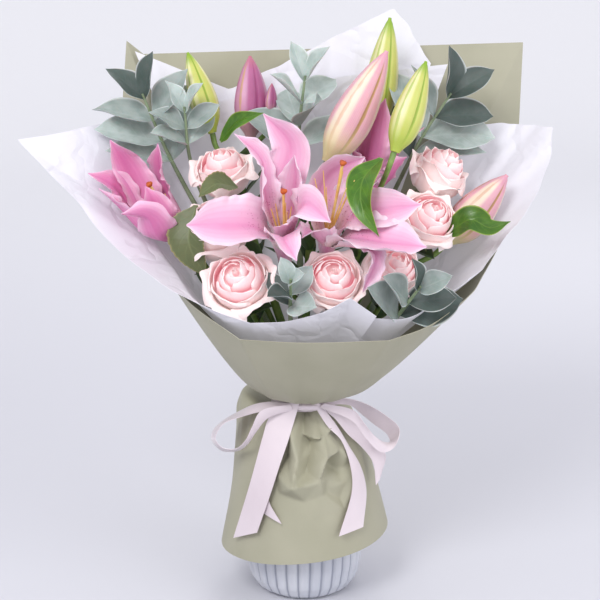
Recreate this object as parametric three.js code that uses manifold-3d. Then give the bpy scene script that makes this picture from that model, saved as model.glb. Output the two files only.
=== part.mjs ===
// A wrapped bouquet of pink lilies, pale pink roses and silver-leaved sprays in a fluted white pot.
// Millimetres, +Z up, origin at the middle of the pot's foot, the front of the bouquet towards -Y.

import * as THREE from "three";
import { mergeVertices } from "three/addons/utils/BufferGeometryUtils.js";
import Module from "manifold-3d";

const wasm = await Module();
wasm.setup();

// Driving dimensions: pot and water
const POT_HEIGHT = 112;
const POT_FLOOR = 6; // height of the bore's floor
const POT_HEEL_Z = 14; // where the rounded heel ends
const POT_BELLY_Z = 30; // above this height the wall is a plain cone
const FLUTES = 30;
const FLUTE_DEPTH = 1.6;
// The outside as [height, radius, share of the flutes' depth] stations.
const POT_OUTSIDE = [
  [0, 39, 0],
  [5, 45.5, 0.7],
  [POT_HEEL_Z, 51, 1],
  [POT_BELLY_Z, 54, 1],
  [POT_HEIGHT - 8, 57, 1],
  [POT_HEIGHT, 57.8, 0],
];
// The bore as [height, radius] stations, up to just above the lip.
const POT_BORE = [
  [POT_FLOOR, 40],
  [POT_HEEL_Z, 45],
  [POT_BELLY_Z, 49.5],
  [POT_HEIGHT + 1, 52.5],
];
const BORE_SIDES = 20;
const WATER_TOP = 78;
const WATER_GAP = 0.8; // between the water and the wall
const HOLE_SIDES = 6; // sides of each stem's hole in the water
const HOLE_OVERRUN = 3; // how far a hole is drawn past the water's foot, and twice that past its top

// Driving dimensions: stems and tie
const FIT_GAP = 0.4; // between pieces that touch in the real bouquet
const TIE_Z = 184; // height of the tie that binds the stems
const STEM_PITCH = 8.4; // centre to centre of neighbouring stems at the tie
const STEM_R = 4; // radius of every stem at the tie and below
const SPREAD_BELOW = 1.35; // how far the stems spread at their cut ends, against the tie
const STRAIGHT_TOP = 162; // below this height every stem is straight
const SPREAD_ABOVE = 1.04; // how far the stems have spread a little above the tie
const ABOVE_TIE = 12; // how far above the tie that is
const STEM_SIDES = 5;
const TWINE_IN_R = 21.8;
const TWINE_OUT_R = 24.1;
const TWINE_HALF = 3; // half the height of the wound twine

// Driving dimensions: paper, tissue and ribbon, nested at the tie
const PAPER_THICK = 0.8;
const TISSUE_THICK = 0.7;
const RIBBON_THICK = 0.8;
const TISSUE_R = 25.6;
const BACK_TISSUE_R = 27;
const PAPER_R = 28.5;
const RIBBON_R = 29.9;
const WAIST_LOW = 177;
const WAIST_HIGH = 190;
const TISSUE_FOOT_Z = 179;

// Driving dimensions: petals, leaves and stems
const PETAL_THICK = 1.1;
const LEAF_THICK = 1.2;
// How each kind of stem tapers, in how many stretches, and how far it runs straight to its head.
const SPRAY_STEM = { radii: [STEM_R, STEM_R, 3.4, 2.4, 1.8, 1.1], steps: 9, lead: 60 };
const ROSE_STEM = { radii: [STEM_R, STEM_R, 3.2, 2.6, 2], steps: 6, lead: 26 };
const LILY_STEM = { radii: [STEM_R, STEM_R, 3.8, 3.6, 3.4], steps: 7, lead: 40 };
const PEDICEL = { radii: [2.6, 2.3, 2.3, 2.7], steps: 4, leaving: 8, lead: 14 };
// How each kind of blade widens and narrows from foot to tip, how deeply it is cupped, and its rows.
const SILVER_LEAF = { shape: [0.06, 0.58, 0.95, 1, 0.84, 0.5, 0], cup: 0.32, rows: 3 };
const LILY_LEAF = { shape: [0.2, 0.72, 0.98, 0.96, 0.74, 0.4, 0], cup: 0.25, rows: 5 };
const ROSE_LEAF = { shape: [0.1, 0.78, 1, 0.92, 0.7, 0.38, 0], cup: 0.25, rows: 4 };
const TEPAL = { shape: [0.28, 0.62, 0.88, 1, 0.92, 0.62, 0], cup: 0.42, rows: 5, wave: 3 };

const COLOURS = {
  pot: 0xeef1f6,
  water: 0xcfe3ea,
  paper: 0xb1b09a,
  tissue: 0xf1eff4,
  ribbon: 0xf3dbe6,
  twine: 0xb79a6b,
  lily: 0xe58cc0,
  stamen: 0xc9a05a,
  budGreen: 0xc6d46a,
  budPink: 0xe3a9c2,
  rose: 0xf6d9d9,
  stem: 0x5d7d34,
  silver: 0x9fb5ab,
};

const point = (x, y, z) => new THREE.Vector3(x, y, z);
const radians = THREE.MathUtils.degToRad;
const mix = THREE.MathUtils.lerp;

// A point at an azimuth round the Z axis, from +X towards +Y.
const around = (azimuth, r, z) => point(r * Math.cos(azimuth), r * Math.sin(azimuth), z);

// Reads a list of evenly spaced values as a smooth curve over 0 to 1.
function profile(values, t) {
  const x = Math.min(Math.max(t, 0), 1) * (values.length - 1);
  const i = Math.min(Math.floor(x), values.length - 2);
  const f = x - i;
  const at = (k) => values[Math.min(Math.max(k, 0), values.length - 1)];
  const slopeA = (at(i + 1) - at(i - 1)) / 2;
  const slopeB = (at(i + 2) - at(i)) / 2;
  return (
    at(i) * (2 * f ** 3 - 3 * f ** 2 + 1) +
    slopeA * (f ** 3 - 2 * f ** 2 + f) +
    at(i + 1) * (3 * f ** 2 - 2 * f ** 3) +
    slopeB * (f ** 3 - f ** 2)
  );
}

// Reads evenly spaced directions, from +X towards +Y, as a smooth closed curve.
function compass(values, azimuth) {
  const turn = ((azimuth / (2 * Math.PI)) % 1 + 1) % 1;
  const padded = [values.at(-1), ...values, values[0], values[1]];
  return profile(padded, (1 + turn * values.length) / (padded.length - 1));
}

// Solids

const WELD = 0.001; // points closer than this are one point

// A closed solid from a list of points and a list of triangles, with points in the same place joined.
function solidOf(points, triangles) {
  const geometry = new THREE.BufferGeometry().setFromPoints(points);
  geometry.setIndex(triangles.flat());
  const merged = mergeVertices(geometry, WELD);
  const kept = [];
  const index = merged.index.array;
  for (let i = 0; i < index.length; i += 3) {
    const [a, b, c] = [index[i], index[i + 1], index[i + 2]];
    if (a !== b && b !== c && a !== c) kept.push(a, b, c);
  }
  const mesh = (order) =>
    new wasm.Manifold(
      new wasm.Mesh({
        numProp: 3,
        vertProperties: merged.attributes.position.array,
        triVerts: new Uint32Array(order),
      }),
    );
  const made = mesh(kept);
  if (made.volume() > 0) return made;
  const turned = [];
  for (let i = 0; i < kept.length; i += 3) turned.push(kept[i], kept[i + 2], kept[i + 1]);
  return mesh(turned);
}

// A solid through closed rings of points, each end closed by a fan; or a torus when loop is true.
function loft(rings, loop = false) {
  const n = rings[0].length;
  const points = rings.flat();
  const triangles = [];
  const last = loop ? rings.length : rings.length - 1;
  for (let i = 0; i < last; i++) {
    const next = (i + 1) % rings.length;
    for (let j = 0; j < n; j++) {
      const k = (j + 1) % n;
      triangles.push([i * n + j, i * n + k, next * n + k], [i * n + j, next * n + k, next * n + j]);
    }
  }
  if (!loop) {
    for (const [i, flip] of [[0, true], [rings.length - 1, false]]) {
      const centre = points.length;
      points.push(rings[i].reduce((sum, p) => sum.add(p), point(0, 0, 0)).divideScalar(n));
      for (let j = 0; j < n; j++) {
        const [a, b] = [i * n + j, i * n + ((j + 1) % n)];
        triangles.push(flip ? [centre, b, a] : [centre, a, b]);
      }
    }
  }
  return solidOf(points, triangles);
}

// The unit normals of a grid of points.
function gridNormals(grid, loop = false) {
  const rows = grid.length;
  const columns = grid[0].length;
  return grid.map((row, i) =>
    row.map((_, j) => {
      const along = grid[Math.min(i + 1, rows - 1)][j].clone().sub(grid[Math.max(i - 1, 0)][j]);
      const right = loop ? (j + 1) % columns : Math.min(j + 1, columns - 1);
      const left = loop ? (j + columns - 1) % columns : Math.max(j - 1, 0);
      const across = grid[i][right].clone().sub(grid[i][left]);
      return along.cross(across).normalize();
    }),
  );
}

// A petal or leaf: thickest inside, with the two faces meeting in a fine edge all round.
function blade(grid, thickness) {
  const normals = gridNormals(grid);
  const rows = grid.length;
  const columns = grid[0].length;
  const points = [];
  const triangles = [];
  for (const side of [0.5, -0.5])
    for (let i = 0; i < rows; i++)
      for (let j = 0; j < columns; j++) {
        const edge = i === 0 || j === 0 || i === rows - 1 || j === columns - 1;
        points.push(grid[i][j].clone().addScaledVector(normals[i][j], edge ? 0 : side * thickness));
      }
  const under = rows * columns;
  for (let i = 0; i < rows - 1; i++)
    for (let j = 0; j < columns - 1; j++) {
      const [a, b] = [i * columns + j, (i + 1) * columns + j];
      const [c, d] = [b + 1, a + 1];
      const mirrored = j < (columns - 1) / 2;
      const pair = mirrored ? [[a, b, c], [a, c, d]] : [[a, b, d], [b, c, d]];
      for (const [p, q, r] of pair) triangles.push([p, q, r], [p + under, r + under, q + under]);
    }
  return solidOf(points, triangles);
}

// A sheet of even thickness through a grid of points, as an open patch or closed into a sleeve.
function sheet(grid, thickness, loop = false) {
  const normals = gridNormals(grid, loop);
  const rows = grid.length;
  const columns = grid[0].length;
  const points = [];
  const triangles = [];
  for (const side of [0.5, -0.5])
    for (let i = 0; i < rows; i++)
      for (let j = 0; j < columns; j++)
        points.push(grid[i][j].clone().addScaledVector(normals[i][j], side * thickness));
  const under = rows * columns;
  const spans = loop ? columns : columns - 1;
  for (let i = 0; i < rows - 1; i++)
    for (let j = 0; j < spans; j++) {
      const k = (j + 1) % columns;
      const [a, b] = [i * columns + j, (i + 1) * columns + j];
      const [c, d] = [(i + 1) * columns + k, i * columns + k];
      triangles.push([a, b, c], [a, c, d]);
      triangles.push([a + under, c + under, b + under], [a + under, d + under, c + under]);
    }
  const rim = (a, b) => triangles.push([a, b, b + under], [a, b + under, a + under]);
  for (let j = 0; j < spans; j++) {
    const k = (j + 1) % columns;
    rim(j, k);
    rim((rows - 1) * columns + k, (rows - 1) * columns + j);
  }
  if (!loop)
    for (let i = 0; i < rows - 1; i++) {
      rim((i + 1) * columns, i * columns);
      rim(i * columns + columns - 1, (i + 1) * columns + columns - 1);
    }
  return solidOf(points, triangles);
}

// A round stem along a curve, with its radius read from a profile; a foot adds a straight stretch below it.
function tube(curve, radii, steps, sides, foot = null) {
  const frames = curve.computeFrenetFrames(steps, false);
  const ring = (centre, i, r) =>
    Array.from({ length: sides }, (_, k) => {
      const a = (2 * Math.PI * k) / sides;
      return centre
        .clone()
        .addScaledVector(frames.normals[i], r * Math.cos(a))
        .addScaledVector(frames.binormals[i], r * Math.sin(a));
    });
  const rings = foot ? [ring(foot, 0, radii[0])] : [];
  for (let i = 0; i <= steps; i++) {
    const t = i / steps;
    rings.push(ring(curve.getPointAt(t), i, profile(radii, t)));
  }
  return loft(rings);
}

const union = (pieces) => wasm.Manifold.union(pieces);

const group = new THREE.Group();

// Adds a node: the largest connected body of a solid, in its own colour.
function addNode(name, solid, colour, roughness = 0.6) {
  const [kept] = solid.decompose().sort((a, b) => b.volume() - a.volume());
  const { vertProperties, triVerts, numProp, numVert } = kept.getMesh();
  const positions = new Float32Array(numVert * 3);
  for (let i = 0; i < numVert; i++) {
    const from = i * numProp;
    positions.set(vertProperties.subarray(from, from + 3), i * 3);
  }
  const geometry = new THREE.BufferGeometry()
    .setAttribute("position", new THREE.BufferAttribute(positions, 3))
    .setIndex(new THREE.BufferAttribute(triVerts, 1));
  const mesh = new THREE.Mesh(geometry, new THREE.MeshStandardMaterial({ color: colour, roughness }));
  mesh.name = name;
  group.add(mesh);
}

// Turns +Z to an axis after a roll about it, and moves the origin to a place.
function placement(origin, axis, roll = 0) {
  const turn = new THREE.Quaternion().setFromUnitVectors(point(0, 0, 1), axis.clone().normalize());
  turn.multiply(new THREE.Quaternion().setFromAxisAngle(point(0, 0, 1), radians(roll)));
  return new THREE.Matrix4().compose(origin, turn, point(1, 1, 1));
}

const moved = (grid, matrix) => grid.map((row) => row.map((p) => p.clone().applyMatrix4(matrix)));

// A level ring of points about the Z axis.
const ringOf = (r, z, sides) =>
  Array.from({ length: sides }, (_, k) => around((2 * Math.PI * k) / sides, r, z));

// Rings of a turned shape with [height, radius] stations, placed in space.
const turned = (stations, sides, place) => moved(stations.map(([z, r]) => ringOf(r, z, sides)), place);

const AS_IT_IS = new THREE.Matrix4();

// Pot, with the stems' water in it

function buildPot() {
  const outside = POT_OUTSIDE.map(([z, r, share]) =>
    Array.from({ length: FLUTES * 2 }, (_, k) => {
      const groove = k % 2 ? 0 : share * FLUTE_DEPTH;
      return around((Math.PI * k) / FLUTES, r - groove, z);
    }),
  );
  const bore = loft(turned(POT_BORE, BORE_SIDES, AS_IT_IS));
  addNode("pot", loft(outside).subtract(bore), COLOURS.pot, 0.35);
}

function buildWater(slots) {
  const [belly, lip] = POT_BORE.slice(-2);
  const topR = mix(belly[1], lip[1], (WATER_TOP - belly[0]) / (lip[0] - belly[0])) - WATER_GAP;
  const low = POT_BORE.slice(0, -1).map(([z, r]) => [z + FIT_GAP, r - WATER_GAP]);
  const body = loft(turned([...low, [WATER_TOP, topR]], BORE_SIDES, AS_IT_IS));
  const holeR = (STEM_R + FIT_GAP) / Math.cos(Math.PI / HOLE_SIDES);
  const holes = slots.map((slot) => {
    const foot = stemFoot(slot);
    const ahead = foot.low.clone().sub(foot.cut).normalize();
    const start = foot.cut.clone().addScaledVector(ahead, -HOLE_OVERRUN);
    const stations = [[0, holeR], [WATER_TOP + 2 * HOLE_OVERRUN, holeR]];
    return loft(turned(stations, HOLE_SIDES, placement(start, ahead)));
  });
  addNode("water", body.subtract(union(holes)), COLOURS.water, 0.1);
}

// Stems

// The tie holds the stems in a close hexagonal pack: a centre, a ring of 6 and a ring of 12.
function tieSlot(slot) {
  if (slot === 0) return point(0, 0, TIE_Z);
  const ring = slot <= 6 ? 1 : 2;
  const k = slot <= 6 ? slot - 1 : slot - 7;
  const corner = (i) => around(radians(60 * i), ring * STEM_PITCH, TIE_Z);
  return corner(Math.floor(k / ring)).lerp(corner(Math.floor(k / ring) + 1), (k % ring) / ring);
}

// A stem's cut end, just clear of the pot's floor, and the top of its straight stretch.
function stemFoot(slot) {
  const tie = tieSlot(slot);
  const cut = tie.clone().multiplyScalar(SPREAD_BELOW).setZ(POT_FLOOR + FIT_GAP);
  const low = cut.clone().lerp(tie, (STRAIGHT_TOP - cut.z) / (TIE_Z - cut.z));
  return { cut, low };
}

// The stretch of a stem from its straight part, through its slot in the tie, to the foot of its head.
function stemCurve(slot, head, axis, lead) {
  const tie = tieSlot(slot);
  const high = tie.clone().multiplyScalar(SPREAD_ABOVE).setZ(TIE_Z + ABOVE_TIE);
  const before = head.clone().addScaledVector(axis.clone().normalize(), -lead);
  return new THREE.CatmullRomCurve3([stemFoot(slot).low, tie, high, before, head], false, "centripetal");
}

const usedSlots = [];

function stemSolid(slot, curve, { radii, steps }) {
  usedSlots.push(slot);
  return tube(curve, radii, steps, STEM_SIDES, stemFoot(slot).cut);
}

// Leaves, petals and sepals

const ARC_STEPS = 4;
const ARC_GROWTH = 1.5; // a leaf bends more and more towards its tip

// The arc of a leaf that leaves its foot in one direction and bends away from its upper face.
function arcPath(base, along, face, length, bend) {
  const ahead = along.clone().normalize();
  const down = ahead.clone().cross(face).cross(ahead).negate().normalize();
  const path = [base.clone()];
  for (let i = 0; i < ARC_STEPS; i++) {
    const a = radians(bend) * ((i + 0.5) / ARC_STEPS) ** ARC_GROWTH;
    const step = ahead.clone().multiplyScalar(Math.cos(a)).addScaledVector(down, Math.sin(a));
    path.push(path.at(-1).clone().addScaledVector(step, length / ARC_STEPS));
  }
  return path;
}

const WAVES = 2.5; // how often a wavy margin rises and falls
const OTHER_SIDE = 1.9; // how far the wave of one side is ahead of the other's, in radians
const DRAWN_IN = 0.3; // how much a cupped blade's margins come together

// A blade's surface along a path: cupped towards its upper face, twisted, and waved along both sides.
function bladeGrid({ path, face, width, shape, cup, rows, twist = 0, wave = 0, phase = 0 }, columns) {
  const curve = new THREE.CatmullRomCurve3(path, false, "centripetal");
  const up = face.clone();
  const grid = [];
  for (let i = 0; i <= rows; i++) {
    const t = i / rows;
    const centre = curve.getPointAt(t);
    const ahead = curve.getTangentAt(t);
    const side = ahead.clone().cross(up).normalize();
    up.copy(side).cross(ahead);
    const turn = new THREE.Quaternion().setFromAxisAngle(ahead, radians(twist) * t);
    const across = side.clone().applyQuaternion(turn);
    const lifted = up.clone().applyQuaternion(turn);
    const half = (width / 2) * profile(shape, t);
    const row = [];
    for (let j = 0; j <= columns; j++) {
      const v = (2 * j) / columns - 1;
      const swing = Math.sin(2 * Math.PI * WAVES * t + phase + (v > 0 ? OTHER_SIDE : 0));
      const ripple = wave * swing * Math.abs(v) ** 3;
      const lift = half * (cup * v * v + ripple / (width / 2));
      const place = centre.clone().addScaledVector(across, half * v * (1 - DRAWN_IN * cup * v * v));
      row.push(place.addScaledVector(lifted, lift));
    }
    grid.push(row);
  }
  return grid;
}

// A leaf's solid from its foot, direction, upper face, length, width, bend and twist.
function leafBlade({ base, along, face, length, width, bend, twist = 0 }, kind) {
  const path = arcPath(base, along, face, length, bend);
  return blade(bladeGrid({ ...kind, path, face, width, twist }, 2), LEAF_THICK);
}

// A leaf written as [foot, direction, upper face, length, width, bend, twist].
const leafSpec = ([base, along, face, length, width, bend, twist]) => ({
  base: point(...base), along: point(...along), face: point(...face), length, width, bend, twist,
});

// Silver-leaved sprays: pairs of leaves up the stem, each pair turned against the one above it.
const SPRAYS = [
  {
    name: "spray_upper_left", slot: 12, head: [-144, 34, 456], axis: [-0.35, -0.08, 0.9],
    pairs: 4, leaf: 46, roll: 85, turn: 12,
  },
  {
    name: "spray_left", slot: 4, head: [-106, 22, 446], axis: [-0.1, -0.2, 1],
    pairs: 2, leaf: 34, roll: 70, turn: 30,
  },
  {
    name: "spray_top", slot: 10, head: [1, 36, 472], axis: [0.1, 0.05, 1],
    pairs: 4, leaf: 45, roll: 60, turn: 70,
  },
  {
    name: "spray_right", slot: 9, head: [132, 46, 455], axis: [0.5, -0.12, 0.85],
    pairs: 3, leaf: 48, roll: 106, turn: -10,
  },
  {
    name: "spray_front", slot: 16, head: [-11, -106, 321], axis: [0, -0.5, 0.8],
    pairs: 3, leaf: 29, roll: 45, turn: 90,
  },
  {
    name: "spray_front_right", slot: 17, head: [97, -95, 312], axis: [0.4, -0.5, 0.7],
    pairs: 2, leaf: 40, roll: 80, turn: 12,
  },
];
const TIP_GAP = 6; // from the stem's tip to the highest pair
const PAIR_STEP = 0.44; // distance from pair to pair, against a leaf's length
const PAIR_SIZES = [0.72, 0.86, 1]; // the leaves' lengths from the highest pair down, the last for the rest
const PAIR_OPENINGS = [24, 52]; // degrees between a leaf and the stem, in the highest pair and in the rest
const SILVER_WIDTH = 0.6; // a leaf's width against its length
const SILVER_BEND = 22;
const SILVER_TWIST = 12;
const LIGHT = point(0, -1, 0.5); // leaves turn their upper faces this way

function buildSpray({ name, slot, head, axis, pairs, leaf, roll, turn }) {
  const curve = stemCurve(slot, point(...head), point(...axis), SPRAY_STEM.lead);
  const parts = [stemSolid(slot, curve, SPRAY_STEM)];
  const reach = curve.getLength();
  for (let k = 0; k < pairs; k++) {
    const at = 1 - (TIP_GAP + k * leaf * PAIR_STEP) / reach;
    const base = curve.getPointAt(at);
    const ahead = curve.getTangentAt(at);
    const length = leaf * (PAIR_SIZES[k] ?? PAIR_SIZES.at(-1));
    const open = radians(PAIR_OPENINGS[k] ?? PAIR_OPENINGS.at(-1));
    for (const half of [0, 180]) {
      const swing = new THREE.Quaternion().setFromAxisAngle(ahead, radians(roll + half + turn * k));
      const out = point(1, 0, 0).cross(ahead).normalize().applyQuaternion(swing);
      const along = ahead.clone().multiplyScalar(Math.cos(open)).addScaledVector(out, Math.sin(open));
      const inner = ahead.clone().multiplyScalar(Math.sin(open)).addScaledVector(out, -Math.cos(open));
      const size = { length, width: length * SILVER_WIDTH, bend: SILVER_BEND, twist: SILVER_TWIST };
      parts.push(leafBlade({ base, along, face: inner.add(LIGHT), ...size }, SILVER_LEAF));
    }
  }
  addNode(name, union(parts), COLOURS.silver);
}

// Roses: three layers of petals round a bud-shaped heart; radii and heights are against the bloom's size.
// Each layer has its number of petals, half a petal's span and the layer's turn in degrees, how far the
// petals' sides drop, and their radii and heights from foot to lip.
const ROSE_LAYERS = [
  {
    count: 5, span: 50, turn: 0, drop: 0.2, rows: 3,
    r: [0.12, 0.66, 0.9, 0.93, 1.16], z: [0.12, 0.3, 0.82, 1.24, 1.36],
  },
  {
    count: 4, span: 56, turn: 30, drop: 0.14, rows: 2,
    r: [0.46, 0.64, 0.74, 0.72, 0.85], z: [0.4, 0.66, 0.98, 1.36, 1.52],
  },
  {
    count: 3, span: 68, turn: 10, drop: 0.1, rows: 1,
    r: [0.3, 0.46, 0.5, 0.44, 0.47], z: [0.8, 1, 1.2, 1.44, 1.6],
  },
];
const ROSE_HEART = [[0.02, 0.2], [0.22, 0.5], [0.74, 0.62], [1.1, 0.4], [1.58, 0.16]];
const HEART_SIDES = 6;
const PETAL_SPAN = [0.3, 0.85, 1, 1, 0.86]; // a petal's width from foot to lip
const PETAL_OVERLAP = 0.05; // how far one side of a petal stands outside the other
const DROP_SHARPNESS = 2.4; // how late the lip falls away towards its sides

function rosePetal(size, layer, k, rows, columns) {
  const middle = layer.turn + (360 * k) / layer.count;
  const grid = [];
  for (let i = 0; i <= rows; i++) {
    const u = i / rows;
    const row = [];
    for (let j = 0; j <= columns; j++) {
      const v = (2 * j) / columns - 1;
      const azimuth = radians(middle + v * layer.span * profile(PETAL_SPAN, u));
      const r = size * (profile(layer.r, u) + PETAL_OVERLAP * v);
      const z = size * (profile(layer.z, u) - layer.drop * Math.abs(v) ** DROP_SHARPNESS * u * u);
      row.push(around(azimuth, r, z));
    }
    grid.push(row);
  }
  return grid;
}

// Each rose: tie slot, foot and axis of the bloom, its size (half its width) and its leaves.
const ROSES = [
  {
    name: "rose_upper_left", slot: 11, foot: [-70, 20, 368], axis: [-0.08, -0.42, 0.9], size: 26, roll: 15,
    leaves: [[[-76, 8, 372], [-0.3, -0.6, 0.2], [0, -0.3, 0.9], 34, 26, 60, 0]],
  },
  {
    name: "rose_left", slot: 14, foot: [-70, -11, 317], axis: [-0.3, -0.5, 0.8], size: 28, roll: 40,
    leaves: [[[-74, -14, 308], [-0.7, -0.5, 0.5], [-0.3, -0.7, 0.5], 50, 38, 10, 0]],
  },
  {
    name: "rose_front_left", slot: 15, foot: [-50, -56, 292], axis: [-0.16, -0.72, 0.66], size: 29, roll: 5,
    leaves: [[[-56, -48, 280], [-0.8, -0.3, 0.45], [-0.2, -0.6, 0.7], 36, 24, 20, 0]],
  },
  {
    name: "rose_front", slot: 6, foot: [24, -56, 294], axis: [0.02, -0.74, 0.66], size: 27, roll: 50,
    leaves: [],
  },
  {
    name: "rose_upper_right", slot: 8, foot: [108, 32, 366], axis: [0.5, -0.3, 0.8], size: 27, roll: 20,
    leaves: [],
  },
  {
    name: "rose_right", slot: 7, foot: [101, -2, 334], axis: [0.28, -0.66, 0.7], size: 27, roll: 65,
    leaves: [],
  },
  {
    name: "rose_lower_right", slot: 18, foot: [72, -38, 296], axis: [0.2, -0.6, 0.76], size: 25, roll: 0,
    leaves: [[[80, -50, 280], [0.8, -0.4, 0.3], [0, -0.5, 0.8], 44, 30, 30, 0]],
  },
];

// The green hip under a rose with its sepals turned down, in [height, radius] stations.
const HIP = { foot: [-9, 2.2], wide: [-4.4, 4.4], shoulder: [-3.9, 4.4], top: [0, 4] };
const SEPALS = 5;
const SEPAL_TIP = [-8, 15];
const NECK_OVERLAP = 2; // how far the stem runs up into the hip

function roseHip(place) {
  const ring = (valley, peak) =>
    Array.from({ length: 2 * SEPALS }, (_, k) => {
      const [z, r] = k % 2 ? peak : valley;
      return around((Math.PI * k) / SEPALS, r, z);
    });
  const rings = [
    ring(HIP.foot, HIP.foot),
    ring(HIP.wide, HIP.wide),
    ring(HIP.shoulder, SEPAL_TIP),
    ring(HIP.top, HIP.top),
  ];
  return loft(moved(rings, place));
}

function buildRose({ name, slot, foot, axis, size, roll, leaves }) {
  const way = point(...axis).normalize();
  const place = placement(point(...foot), way, roll);
  const heart = ROSE_HEART.map(([z, r]) => [z * size, r * size]);
  const parts = [loft(turned(heart, HEART_SIDES, place))];
  for (const layer of ROSE_LAYERS)
    for (let k = 0; k < layer.count; k++)
      parts.push(blade(moved(rosePetal(size, layer, k, layer.rows, 3), place), PETAL_THICK));
  addNode(name, union(parts), COLOURS.rose);

  // The stem and hip stop just short of the bloom.
  const seat = point(...foot).addScaledVector(way, ROSE_HEART[0][0] * size - FIT_GAP);
  const neck = seat.clone().addScaledVector(way, HIP.foot[0] + NECK_OVERLAP);
  const path = stemCurve(slot, neck, way, ROSE_STEM.lead);
  const green = [stemSolid(slot, path, ROSE_STEM), roseHip(placement(seat, way))];
  for (const leaf of leaves) green.push(leafBlade(leafSpec(leaf), ROSE_LEAF));
  addNode(name + "_stem", union(green), COLOURS.stem);
}

// Lilies: each tepal runs from the foot through the named points to its tip, and is [points, width, twist].

const LILIES = [
  { name: "lily_left", foot: [-98, 14, 316], axis: [-0.5, -0.35, 0.83], reach: 66, spread: 0.14,
    tepals: [
      [[[-136, 0, 353], [-155, 5, 392], [-169, -6, 421]], 30, 0],
      [[[-110, 4, 354], [-124, 10, 384], [-128, 0, 417]], 24, 0],
      [[[-143, -12, 352], [-166, -6, 380], [-188, -14, 393]], 26, 0],
      [[[-136, -28, 342], [-158, -32, 366], [-178, -26, 382]], 24, 0],
      [[[-124, -40, 342], [-133, -54, 363], [-155, -58, 366]], 32, 0],
      [[[-118, -32, 349], [-129, -38, 373], [-136, -38, 386]], 24, 0]] },
  { name: "lily_centre", foot: [-16, -44, 314], axis: [-0.05, -0.32, 0.94], reach: 62, spread: 0.14,
    tepals: [
      [[[-37, -72, 362], [-68, -82, 381], [-95, -72, 362]], 42, 0],
      [[[-32, -60, 384], [-35, -58, 412], [-58, -68, 436]], 24, 0],
      [[[-18, -48, 389], [-12, -42, 422], [-34, -50, 450]], 40, 0],
      [[[-9, -56, 380], [-7, -62, 402], [-8, -72, 419]], 28, 0],
      [[[-6, -78, 370], [2, -94, 382], [22, -102, 368]], 38, 0],
      [[[-18, -80, 352], [-16, -100, 353], [-6, -108, 337]], 32, 0]] },
  { name: "lily_right", foot: [18, -44, 318], axis: [0.09, -0.3, 0.95], reach: 84, spread: 0.2,
    tepals: [
      [[[13, -46, 374], [22, -39, 396], [52, -36, 411]], 42, 0],
      [[[34, -44, 367], [50, -36, 385], [68, -32, 395]], 30, 0],
      [[[40, -58, 364], [68, -72, 372], [98, -72, 377]], 36, 0],
      [[[36, -70, 350], [67, -86, 354], [100, -80, 350]], 34, 0],
      [[[12, -74, 350], [6, -86, 358], [-2, -90, 352]], 30, 0],
      [[[34, -78, 340], [46, -98, 333], [54, -104, 310]], 24, 0]] },
  { name: "lily_back", foot: [60, 14, 352], axis: [0.1, 0.02, 1], reach: 54, spread: 0.07,
    tepals: [
      [[[58, 6, 400], [62, 2, 430], [71, 2, 456]], 34, 0],
      [[[78, 14, 400], [95, 10, 420], [106, 8, 430]], 26, 0],
      [[[46, 22, 400], [40, 26, 425], [38, 28, 440]], 30, 0],
      [[[64, 28, 400], [70, 34, 422], [80, 36, 436]], 26, 0],
      [[[52, 2, 388], [46, -2, 402], [42, -4, 412]], 24, 0],
      [[[74, 4, 384], [82, -2, 398], [90, -4, 406]], 24, 0]] },
];
// The closed tube below a bloom, in [height, radius] stations.
const LILY_THROAT = [[-3, 3], [2, 5], [14, 6.5], [26, 9.5], [30, 8]];
const TEPAL_FOOT = [20, 5]; // height and distance from the axis at which a tepal leaves the tube
const THROAT_SIDES = 6;
// Six filaments and a stouter style rise from a seat in the throat.
const FILAMENTS = { count: 6, radii: [1, 0.8, 0.7], lean: 1, longer: 0 };
const STYLE = { count: 1, radii: [1.4, 1.3, 2.2], lean: 0.3, longer: 14 };
const THREAD_SEAT = { height: 4, footR: 2.6, topR: 2.2 };
const THREAD_FOOT = [2, 1.2]; // height above the seat and distance from the axis at which a thread starts
const THREAD_BEND = [0.6, 0.4]; // share of its height, and of its spread there, at which it bends outwards
const THREAD_TURN = 5; // degrees from a tepal's middle to a filament

function tepalGrid({ foot, axis }, [via, width, twist]) {
  const centre = point(...foot);
  const way = point(...axis).normalize();
  const places = via.map((p) => point(...p));
  const out = places[0].clone().sub(centre).projectOnPlane(way).normalize();
  const start = centre.clone().addScaledVector(way, TEPAL_FOOT[0]).addScaledVector(out, TEPAL_FOOT[1]);
  const path = [start, ...places];
  return bladeGrid({ ...TEPAL, path, face: out.negate(), width, twist, phase: width }, 2);
}

function lilyThreads({ reach, spread }, kind, seat, place) {
  const [bendZ, bendR] = THREAD_BEND;
  return Array.from({ length: kind.count }, (_, k) => {
    const azimuth = radians((360 * k) / kind.count + THREAD_TURN);
    const stations = [
      [seat + THREAD_FOOT[0], THREAD_FOOT[1]],
      [reach * bendZ, reach * spread * bendR],
      [reach + kind.longer, reach * spread],
    ];
    const path = stations.map(([z, r]) => around(azimuth, r * kind.lean, z).applyMatrix4(place));
    return tube(new THREE.CatmullRomCurve3(path), kind.radii, 2, 3);
  });
}

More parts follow.
